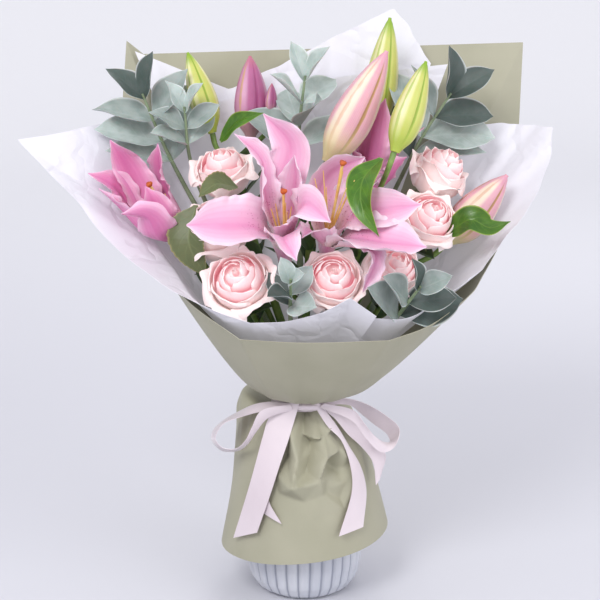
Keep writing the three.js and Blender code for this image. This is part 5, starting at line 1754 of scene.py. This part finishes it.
@dataclass
class Rose:
    """A half-open rose with its hip, sepals, stem and leaves."""

    name: str
    slot: int
    foot: Point
    axis: Point
    size: float
    roll: float
    leaves: list = field(default_factory=list)
    rings: tuple[PetalRing, ...] = (
        PetalRing(5, 52, 0, 0.14, (0.12, 0.64, 0.88, 0.9, 0.92), (0.1, 0.26, 0.64, 0.9, 1.08), 0.22, 0.16),
        PetalRing(4, 58, 40, 0.12, (0.12, 0.6, 0.82, 0.82, 0.74), (0.12, 0.34, 0.78, 1.08, 1.27), 0.13, 0.09),
        PetalRing(3, 66, 12, 0.09, (0.15, 0.54, 0.71, 0.67, 0.55), (0.2, 0.5, 0.94, 1.24, 1.43), 0.07, 0.05),
        PetalRing(3, 66, 70, 0.06, (0.15, 0.44, 0.55, 0.5, 0.36), (0.3, 0.7, 1.1, 1.38, 1.56), 0.04, 0.03),
        PetalRing(3, 70, 20, 0.04, (0.1, 0.3, 0.37, 0.31, 0.19), (0.5, 0.9, 1.25, 1.5, 1.66), 0.02, 0.02),
    )
    open_rings: int = 2
    widths: tuple[float, ...] = (0.3, 0.85, 1, 1, 0.86)
    core: tuple[Span, ...] = (
        (0.5, 0.45), (0.7, 0.66), (0.73, 0.85), (0.66, 1.0), (0.55, 1.13), (0.42, 1.25), (0.27, 1.33),
        (0.12, 1.38), (0.01, 1.39))
    slim: float = 0.97
    tall: float = 1.1
    hip: tuple[Span, ...] = ((2.2, -9), (3.4, -7.4), (4.4, -4.4), (4.4, -1.6), (4, 0))
    sepal: tuple[Span, ...] = ((3.6, -3.6), (7, -3.4), (11, -5), (15, -8.5))
    sepal_form: BladeForm = BladeForm(SEPAL_SHAPE, 5.5, roll=0.2)
    radii: tuple[float, ...] = (STEM_R, STEM_R, 3.2, 2.6, 2)
    leaf_form: BladeForm = BladeForm(ROSE_LEAF_SHAPE, 0, 0.25, 0, 1.2, 2.0, 1.0, 0.8, 0.3, teeth=16)

    def petal(self, ring: PetalRing, k: int, rng: random.Random) -> np.ndarray:
        """Gives one petal's surface in the bloom's own frame.

        Args:
            ring: the ring that it belongs to.
            k: its number in the ring.
            rng: the seeded random source.

        Returns:
            The petal's grid.
        """
        u, v = np.linspace(0, 1, 25)[:, None], np.linspace(-1, 1, 23)[None, :]
        middle = ring.turn + 360 * k / ring.count + rng.uniform(-12, 12)
        azimuth = np.radians(middle + v * ring.span * profile(self.widths, u))
        lean, rise = rng.uniform(-0.01, 0.05), rng.uniform(-0.08, 0.04)
        r = profile(ring.radii, u) + 0.05 * v + lean * u
        z = profile(ring.heights, u) - ring.drop * np.abs(v) ** 2.4 * u * u + rise * u
        lip = np.clip((u - 0.7) / 0.3, 0, 1)
        sides = 1 - np.exp(-((v / 0.4) ** 2))
        curl = ring.curl * rng.uniform(0.7, 1.3)
        r = r + curl * lip**2 * (0.5 + 0.5 * sides) + 0.015 * np.sin(5 * v + rng.uniform(0, 6)) * u**3
        z = z - curl * lip**3 * (0.15 + 0.95 * sides)
        peak = ring.point * np.exp(-((v / 0.18) ** 2)) * lip**3
        return turned((r + peak) * self.size * self.slim, (z + 0.4 * peak) * self.size * self.tall, azimuth)

    def heart(self) -> np.ndarray:
        """Gives the tight roll of petals in the middle.

        Returns:
            The roll's grid.
        """
        u, w = np.linspace(0, 1, 15)[:, None], np.linspace(0, 1, 111)[None, :]
        azimuth = w * math.tau * 2.3
        r = (0.02 + 0.09 * w) * (0.85 + 0.25 * np.sin(math.pi * u * 0.9))
        z = 0.8 + (0.82 + 0.03 * np.sin(azimuth * 1.3) - 0.05 * w) * u
        return turned(r, self.tall * z, azimuth) * self.size

    def build_bloom(self, wardrobe: Wardrobe, rng: random.Random) -> None:
        """Builds the open petals, and the closed ones round a solid core.

        Args:
            wardrobe: the finishes.
            rng: the seeded random source.
        """
        place = placement(self.foot, self.axis, self.roll)
        outer, inner = Shape(), Shape()
        for n, ring in enumerate(self.rings):
            part = outer if n < self.open_rings else inner
            for k in range(ring.count):
                part.blade(placed(self.petal(ring, k, rng), place), rng.random())
        inner.blade(placed(self.heart(), place), 0.3, 0.4)
        r, z = stations(self.core)
        inner.loft(placed(turned(r, self.tall * z, ring_angles(40)) * self.size, place), tone=0.4)
        outer.piece(self.name + "_petals", wardrobe.get("rose"), "rose_petal", self.name)
        inner.piece(self.name + "_heart", wardrobe.get("rose_heart"), "rose_petal", self.name)

    def build(self, wardrobe: Wardrobe, room: Room, rng: random.Random) -> None:
        """Builds the bloom, its stem and its leaves.

        Args:
            wardrobe: the finishes.
            room: the space that the wrapping leaves.
            rng: the seeded random source.
        """
        self.build_bloom(wardrobe, rng)
        way = unit(np.asarray(self.axis, float))
        seat = np.asarray(self.foot) + way * (0.02 * self.size - FIT_GAP)
        route = stem_route(self.slot, seat - way * 7, self.axis, 26)
        hip_place = placement(seat, self.axis)
        green = Shape()
        green.tube(route, self.radii, 40, 12, stem_foot(self.slot)[0])
        green.loft(placed(turned(*stations(self.hip), ring_angles(20)), hip_place))
        green.piece(self.name + "_stem_green", wardrobe.get("stem"), "green_stem", self.name + "_stem")
        leafy = Shape()
        for k in range(5):
            path = [around(math.radians(72 * k + 36), r, z) for r, z in self.sepal]
            leafy.blade(placed(self.sepal_form.grid(path, UP, 12, 6), hip_place), rng.random())
        shown_leaves(leafy, self.leaves, self.leaf_form, 64, LEAF_THICK, (1, 0), rng)
        leafy.piece(self.name + "_stem_leaves", wardrobe.get("rose_leaf"), "green_stem", self.name + "_stem")
        low_leaves(route, 4, (0.66, 0.92), (38, 20), room, rng).piece(
            self.name + "_stem_low_leaves", wardrobe.get("shade_dark_leaf"), "green_stem", self.name + "_stem")


@dataclass
class Lily:
    """An open lily: six tepals from a closed tube, with filaments and a style."""

    name: str
    foot: Point
    axis: Point
    reach: float
    spread: float
    tepals: list
    finish: str = "lily"
    throat: tuple[Span, ...] = ((3, -3), (5, 2), (6.5, 14), (9.5, 26), (8, 30))
    tepal_foot: Span = (5, 20)
    fullness: float = 1.1
    stigma: tuple[Span, ...] = ((1.2, -1.0), (2.2, 0.2), (3.0, 1.8), (2.6, 3.0), (1.0, 3.4))
    stigma_lobe: float = 0.18
    filaments: int = 6
    filament_radii: tuple[float, ...] = (0.95, 0.75, 0.4)
    style_radii: tuple[float, ...] = (1.4, 1.2, 1.3)
    style_extra: float = 14.0
    style_lean: float = 0.3

    def tepal(self, via: list, width: float, twist: float) -> np.ndarray:
        """Gives one tepal's surface.

        Args:
            via: what its middle line runs through after its foot.
            width: its width.
            twist: its twist in degrees.

        Returns:
            The tepal's grid.
        """
        centre = np.asarray(self.foot, float)
        way = unit(np.asarray(self.axis, float))
        offset = np.asarray(via[0], float) - centre
        out = unit(offset - way * np.dot(offset, way))
        r, z = self.tepal_foot
        form = BladeForm(TEPAL_SHAPE, width * self.fullness, 0.42, twist, 3.4, 2.5, width, 1.7, 1.3)
        return form.grid([centre + way * z + out * r, *via], -out, 56, 20)

    def thread(self, k: int, seat: float, place: Place) -> Route:
        """Gives the way of a thread from its seat in the tube.

        Args:
            k: the thread's number; the last one is the style.
            seat: the height of its seat.
            place: the lily's placement.

        Returns:
            The thread's route.
        """
        style = k == self.filaments
        lean = self.style_lean if style else 1.0
        end = self.reach + self.style_extra if style else self.reach
        wide = self.reach * self.spread
        knots = [(1.2, seat + 2), (wide * 0.4, self.reach * 0.6), (wide, end)]
        path = [placed(around(math.radians(60 * k + 5), r * lean, z), place) for r, z in knots]
        return Route(path, samples=60)

    def build(self, wardrobe: Wardrobe, rng: random.Random) -> None:
        """Builds the tepals, the tube and the threads.

        Args:
            wardrobe: the finishes.
            rng: the seeded random source.
        """
        place = placement(self.foot, self.axis)
        bloom, threads, stigma = Shape(), Shape(), Shape()
        r, z = (profile(values[:, 0], np.linspace(0, 1, 14))[:, None] for values in stations(self.throat))
        bloom.loft(placed(turned(r, z, ring_angles(24)), place), tone=0.3)
        for via, width, twist in self.tepals:
            bloom.blade(self.tepal(via, width, twist), rng.random() * 0.6, 0.7)
        bloom.piece(self.name + "_tepals", wardrobe.get(self.finish), "lily_petal", self.name)

        seat = self.throat[-1][1] + FIT_GAP
        foot = turned(*stations(((2.6, seat), (2.2, seat + 4))), ring_angles(24))
        threads.loft(placed(foot, place))
        for k in range(self.filaments):
            threads.tube(self.thread(k, seat, place), self.filament_radii, 24, 8)
        style = self.thread(self.filaments, seat, place)
        threads.tube(style, self.style_radii, 24, 8)
        r, z = stations(self.stigma)
        angles = ring_angles(30)
        lobes = turned(r * (1 + self.stigma_lobe * np.cos(3 * angles)), z, angles)
        stigma.loft(placed(lobes, placement(style.at(1), style.heading(1))))
        threads.piece(self.name + "_threads", wardrobe.get("thread"), "stamen", self.name + "_stamens")
        stigma.piece(self.name + "_stigma", wardrobe.get("stigma"), "stamen", self.name + "_stamens")


@dataclass
class Bud:
    """A closed lily bud with three ridged tepals."""

    name: str
    foot: Point
    tip: Point
    width: float
    finish: str
    shape: tuple[float, ...] = (0.3, 0.8, 1, 0.96, 0.78, 0.5, 0.12)
    lobe: float = 0.07
    rib: Span = (0.03, 0.07)
    seam: Span = (0.06, 0.06)
    tip_from: float = 0.97
    tip_share: float = 0.75

    def build(self, wardrobe: Wardrobe) -> None:
        """Builds the bud.

        Args:
            wardrobe: the finishes.
        """
        way = np.asarray(self.tip) - np.asarray(self.foot)
        t, a = np.linspace(0, 1, 45)[:, None], ring_angles(72)[None, :]
        swell = profile(self.shape, t) * np.where(t > self.tip_from, self.tip_share, 1)
        rib = self.rib[0] * np.exp(-(((np.mod(a * 3 / math.tau + 0.5, 1) - 0.5) / self.rib[1]) ** 2))
        seam = self.seam[0] * np.exp(-(((np.mod(a * 3 / math.tau, 1) - 0.5) / self.seam[1]) ** 2))
        body = 1 + self.lobe * np.cos(3 * a) - seam * np.sin(math.pi * t) + rib
        part = Shape()
        rings = turned(self.width / 2 * swell * body, np.linalg.norm(way) * t, a)
        part.loft(placed(rings, placement(self.foot, way)), waves=3)
        slot = "bud_green" if self.finish == "bud_green" else "bud_pink"
        part.piece(self.name + "_petals", wardrobe.get(self.finish), slot, self.name)


@dataclass
class LilyStem:
    """A lily's stem with the pedicels that carry its blooms and buds, and its leaves."""

    name: str
    slot: int
    top: Point
    axis: Point
    carries: list
    leaves: list
    radii: tuple[float, ...] = (STEM_R, STEM_R, 3.8, 3.6, 3.4)
    pedicel_radii: tuple[float, ...] = (2.6, 2.3, 2.3, 2.7)
    leaf_form: BladeForm = BladeForm(LILY_LEAF_SHAPE, 0, 0.25, 0, 1.5, 1.5, 2.0, 1.2)

    def build(self, wardrobe: Wardrobe, ends: dict[str, Place], room: Room, rng: random.Random) -> None:
        """Builds the stem.

        Args:
            wardrobe: the finishes.
            ends: the foot and direction of what each pedicel carries.
            room: the space that the wrapping leaves.
            rng: the seeded random source.
        """
        main = stem_route(self.slot, self.top, self.axis, 40)
        green = Shape()
        green.tube(main, self.radii, 50, 12, stem_foot(self.slot)[0])
        for load, at in self.carries:
            end, heading = ends[load]
            leaving = main.at(at) + main.heading(at) * 8
            leaving = leaving + (end - leaving) * 0.1
            green.tube(Route([main.at(at), leaving, end - heading * 14, end]), self.pedicel_radii, 24, 12)
        green.piece(self.name + "_green", wardrobe.get("stem"), "green_stem", self.name)
        low_leaves(main, 9, (0.6, 0.97), (50, 17), room, rng).piece(
            self.name + "_low_leaves", wardrobe.get("shade_dark_leaf"), "green_stem", self.name)
        if not self.leaves:
            return
        leafy = Shape()
        shown_leaves(leafy, self.leaves, self.leaf_form, 44, 0.6, (0.4, 0.6), rng)
        leafy.piece(self.name + "_leaves", wardrobe.get("green_leaf"), "green_stem", self.name)


SPRAYS = [
    Spray("spray_upper_left", 12, (-144, 34, 456), (-0.35, -0.08, 0.9), 4, 46, 85, 12),
    Spray("spray_left", 4, (-106, 22, 446), (-0.1, -0.2, 1), 3, 34, 70, 30),
    Spray("spray_top", 10, (1, 36, 472), (0.1, 0.05, 1), 4, 45, 60, 70),
    Spray("spray_right", 9, (132, 46, 455), (0.5, -0.12, 0.85), 4, 48, 106, -10),
    Spray("spray_front", 16, (-11, -106, 321), (0, -0.5, 0.8), 3, 29, 45, 90),
    Spray("spray_front_right", 17, (97, -95, 312), (0.4, -0.5, 0.7), 3, 40, 80, 12),
]

ROSES = [
    Rose("rose_upper_left", 11, (-70, 20, 368), (-0.08, -0.42, 0.9), 26, 15,
        [([(-57, -28, 383), (-75, -36, 388), (-90, -46, 378)], (-0.2, -0.5, 0.8), 26, 0)]),
    Rose("rose_left", 14, (-68, -16, 323), (-0.3, -0.5, 0.8), 31, 40,
        [([(-93, -35, 369), (-99, -50, 340), (-84, -51, 309)], (-0.3, -0.85, 0.3), 40, 0)]),
    Rose("rose_front_left", 15, (-50, -56, 292), (-0.16, -0.72, 0.66), 29, 5,
        [([(-56, -48, 280), (-71, -54, 287), (-84, -62, 292)], (-0.2, -0.6, 0.7), 24, 0)]),
    Rose("rose_front", 6, (24, -56, 294), (0.02, -0.74, 0.66), 27, 50),
    Rose("rose_upper_right", 8, (108, 32, 366), (0.5, -0.3, 0.8), 27, 20),
    Rose("rose_right", 7, (101, -2, 334), (0.28, -0.66, 0.7), 27, 65),
    Rose("rose_lower_right", 18, (72, -38, 296), (0.2, -0.6, 0.76), 25, 0,
        [([(80, -50, 280), (98, -60, 285), (115, -72, 286)], (0, -0.5, 0.8), 30, 0)]),
]

LILIES = [
    Lily("lily_left", (-98, 14, 316), (-0.5, -0.35, 0.83), 66, 0.14, [
        ([(-136, 0, 353), (-155, 5, 392), (-169, -6, 421)], 36, -60),
        ([(-110, 4, 354), (-126, 10, 384), (-128, 0, 417)], 26, 20),
        ([(-143, -12, 352), (-166, -6, 380), (-188, -14, 393)], 32, -60),
        ([(-136, -28, 342), (-158, -32, 366), (-178, -26, 382)], 30, -40),
        ([(-124, -40, 342), (-133, -54, 363), (-155, -58, 366)], 38, -25),
        ([(-118, -32, 349), (-129, -38, 373), (-136, -38, 386)], 32, 0)], "lily_deep"),
    Lily("lily_centre", (-16, -44, 314), (-0.05, -0.32, 0.94), 62, 0.14, [
        ([(-38, -72, 357), (-66, -84, 362), (-98, -80, 361)], 50, -70),
        ([(-32, -60, 384), (-35, -58, 412), (-58, -68, 436)], 24, 0),
        ([(-18, -48, 389), (-12, -42, 422), (-34, -50, 450)], 40, 0),
        ([(-9, -56, 380), (-7, -62, 402), (-8, -72, 419)], 28, 0),
        ([(-6, -78, 370), (2, -94, 382), (22, -102, 368)], 38, 60),
        ([(-18, -80, 352), (-16, -100, 353), (-6, -108, 337)], 32, 0)]),
    Lily("lily_right", (18, -44, 318), (0.09, -0.3, 0.95), 84, 0.2, [
        ([(13, -46, 374), (22, -39, 396), (52, -36, 411)], 42, 0),
        ([(34, -44, 367), (50, -36, 385), (68, -32, 395)], 30, 0),
        ([(40, -58, 364), (68, -72, 372), (98, -72, 377)], 40, 45),
        ([(36, -73, 349), (67, -92, 350), (102, -88, 344)], 45, 45),
        ([(12, -74, 350), (6, -86, 358), (-2, -90, 352)], 30, 0),
        ([(38, -72, 342), (60, -88, 338), (49, -92, 306)], 20, 0)]),
    Lily("lily_back", (60, 14, 352), (0.1, 0.02, 1), 54, 0.07, [
        ([(58, 6, 400), (62, 2, 430), (71, 2, 456)], 34, 0),
        ([(78, 14, 400), (95, 10, 420), (106, 8, 430)], 26, 0),
        ([(46, 22, 400), (40, 26, 425), (38, 28, 440)], 30, 0),
        ([(64, 28, 400), (70, 34, 422), (80, 36, 436)], 26, 0),
        ([(52, 2, 388), (46, -2, 402), (42, -4, 412)], 24, 0),
        ([(74, 4, 384), (82, -2, 398), (90, -4, 406)], 24, 0)], "lily_deep"),
]

BUDS = [
    Bud("bud_green_left", (-83, 46, 419), (-105, 60, 490), 25, "bud_green"),
    Bud("bud_pink_left", (-49, 56, 414), (-49, 68, 486), 31, "bud_rose"),
    Bud("bud_small", (-31, 48, 437), (-29, 54, 463), 11, "bud_rose"),
    Bud("bud_pink_tall", (20, -14, 403), (71, -8, 498), 36, "bud_pink"),
    Bud("bud_yellow_back", (62, 54, 418), (77, 60, 521), 30, "bud_green"),
    Bud("bud_green_right", (77, -34, 415), (104, -16, 490), 27, "bud_green"),
    Bud("bud_pink_right", (128, 12, 326), (181, 16, 386), 35, "bud_pink"),
]

LILY_STEMS = [
    LilyStem("lily_stem_far_left", 13, (-76, 12, 284), (-0.55, 0.02, 0.8), [("lily_left", 0.97)], []),
    LilyStem("lily_stem_left", 3, (-58, 52, 388), (-0.1, 0.1, 0.95),
        [("bud_green_left", 0.97), ("bud_pink_left", 0.99), ("bud_small", 0.98)],
        [([(-74, 16, 416), (-58, 2, 436), (-35, -8, 445)], (-0.4, -0.8, 0.5), 17, 0)]),
    LilyStem("lily_stem_centre", 0, (8, -8, 352), (0.1, -0.05, 1),
        [("lily_centre", 0.5), ("bud_pink_tall", 0.98), ("bud_yellow_back", 0.96)], []),
    LilyStem("lily_stem_right", 1, (54, -6, 345), (0.25, -0.05, 0.95),
        [("lily_right", 0.5), ("lily_back", 0.96), ("bud_green_right", 0.98), ("bud_pink_right", 0.6)],
        [([(66, -42, 411), (49, -66, 397), (48, -82, 377), (62, -92, 354)], (-0.35, -0.8, 0.5), 26, 10),
         ([(124, -22, 339), (144, -32, 356), (161, -34, 349), (179, -32, 354)],
          (-0.2, -0.85, 0.45), 26, -35)]),
]


def pedicel_ends() -> dict[str, Place]:
    """Gives where each pedicel ends and the way it points there.

    Returns:
        The end and the direction of each, by the name of what it carries.
    """
    ends = {}
    for lily in LILIES:
        way = unit(np.asarray(lily.axis, float))
        ends[lily.name] = (np.asarray(lily.foot) + way * (lily.throat[0][1] - FIT_GAP), way)
    for bud in BUDS:
        way = unit(np.asarray(bud.tip, float) - np.asarray(bud.foot))
        ends[bud.name] = (np.asarray(bud.foot) - way * FIT_GAP, way)
    return ends


@dataclass(frozen=True)
class Lamp:
    """One round soft light: its place and width in metres and its power in watts."""

    name: str
    place: Point
    width: float
    power: float


@dataclass
class Studio:
    """The floor, the lights and the camera, in metres."""

    target: Point = (0, 0, 0.275)
    distance: float = 1.35
    elevation: float = 15.0
    lens: float = 90.0
    sensor: float = 36.0
    shift: float = -0.0067
    lamps: tuple[Lamp, ...] = (
        Lamp("key", (-0.6, -1.35, 1.5), 0.8, 18),
        Lamp("fill", (1.3, -1.1, 0.9), 1.4, 9),
        Lamp("rim", (0.3, 1.3, 1.4), 1.0, 7),
    )
    sky: Colour = hue(0xEEEEF3)
    sky_strength: float = 0.97
    # Painted shade and light: the floor is darker near the bouquet and lighter far away, as the light falls.
    floor_shaded_near: Colour = hue(0xCBCBD2)
    floor_lit_far: Colour = hue(0xF6F6F9)
    floor_fade: Span = (0.4, 3.0)
    floor_width: float = 16.0
    floor_front: float = -8.0
    floor_back: float = 0.75
    sweep_y: float = 2.2
    sweep_radius: float = 1.2
    wall_height: float = 3.6

    def build(self) -> None:
        """Sets the studio up."""
        self._floor()
        for lamp in self.lamps:
            light = bpy.data.lights.new(lamp.name, "AREA")
            light.shape = "DISK"
            light.size = lamp.width
            light.energy = lamp.power
            self._aimed(lamp.name, light, Vector(lamp.place))
        world = bpy.data.worlds.new("studio")
        world.use_nodes = True
        shade = world.node_tree.nodes["Background"]
        Tree(world.node_tree).feed(shade, Color=self.sky, Strength=self.sky_strength)
        bpy.context.scene.world = world
        bpy.context.scene.view_settings.view_transform = "Standard"
        rise = math.radians(self.elevation)
        place = Vector(self.target) + self.distance * Vector((0, -math.cos(rise), math.sin(rise)))
        lens = bpy.data.cameras.new("view")
        lens.lens = self.lens
        lens.sensor_width = self.sensor
        lens.shift_x = self.shift
        bpy.context.scene.camera = self._aimed("view", lens, place)

    def _aimed(self, name: str, data: bpy.types.ID, place: Vector) -> bpy.types.Object:
        """Adds a light or a camera that looks at the middle of the bouquet.

        Args:
            name: the object's name.
            data: the light or the camera.
            place: where it stands.

        Returns:
            The object.
        """
        body = bpy.data.objects.new(name, data)
        body.location = place
        body.rotation_euler = (Vector(self.target) - place).to_track_quat("-Z", "Y").to_euler()
        bpy.context.scene.collection.objects.link(body)
        return body

    def _floor(self) -> None:
        """Adds the pale floor, which sweeps up behind the object, painted darker near the object and lighter
        far off.
        """
        flat = [(y, 0.0) for y in np.linspace(self.floor_front, self.floor_back, 6)]
        bend = [
            (self.sweep_y + self.sweep_radius * math.sin(a), self.sweep_radius * (1 - math.cos(a)))
            for a in np.linspace(0, math.pi / 2, 13)]
        wall = [(bend[-1][0], bend[-1][1] + self.wall_height * k / 6) for k in range(1, 7)]
        rows = [*flat, *bend, *wall]
        mesh = bpy.data.meshes.new("floor")
        points = [(x, y, z) for y, z in rows for x in (-self.floor_width / 2, self.floor_width / 2)]
        mesh.from_pydata(points, [], [(2 * i, 2 * i + 1, 2 * i + 3, 2 * i + 2) for i in range(len(rows) - 1)])
        mesh.shade_smooth()
        material, tree, shader = start_material("studio_floor")
        far = tree.add("ShaderNodeVectorMath", {"operation": "LENGTH"}, i0=tree.here()).outputs["Value"]
        # Painted shade near the bouquet, fading to painted light far away.
        colour = tree.blend(tree.ramp(far, *self.floor_fade), self.floor_shaded_near, self.floor_lit_far)
        tree.feed(shader, Base_Color=colour, Roughness=0.9)
        mesh.materials.append(material)
        floor = bpy.data.objects.new("floor", mesh)
        bpy.context.scene.collection.objects.link(floor)


def main() -> None:
    """Builds the studio and the bouquet, piece by piece."""
    logging.basicConfig(level=logging.INFO, format="%(message)s")
    rng = random.Random(SEED)
    Studio().build()
    wardrobe = Wardrobe()
    Pot().build(wardrobe)
    wrapping = Wrapping()
    wrapping.build(wardrobe, rng)
    room = Room(wrapping)
    Ribbon().build(wardrobe)
    ends = pedicel_ends()
    for stem in LILY_STEMS:
        stem.build(wardrobe, ends, room, rng)
    for lily in LILIES:
        lily.build(wardrobe, rng)
    for bud in BUDS:
        bud.build(wardrobe)
    for rose in ROSES:
        rose.build(wardrobe, room, rng)
    for spray in SPRAYS:
        spray.build(wardrobe, rng)
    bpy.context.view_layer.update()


if __name__ == "__main__":
    main()
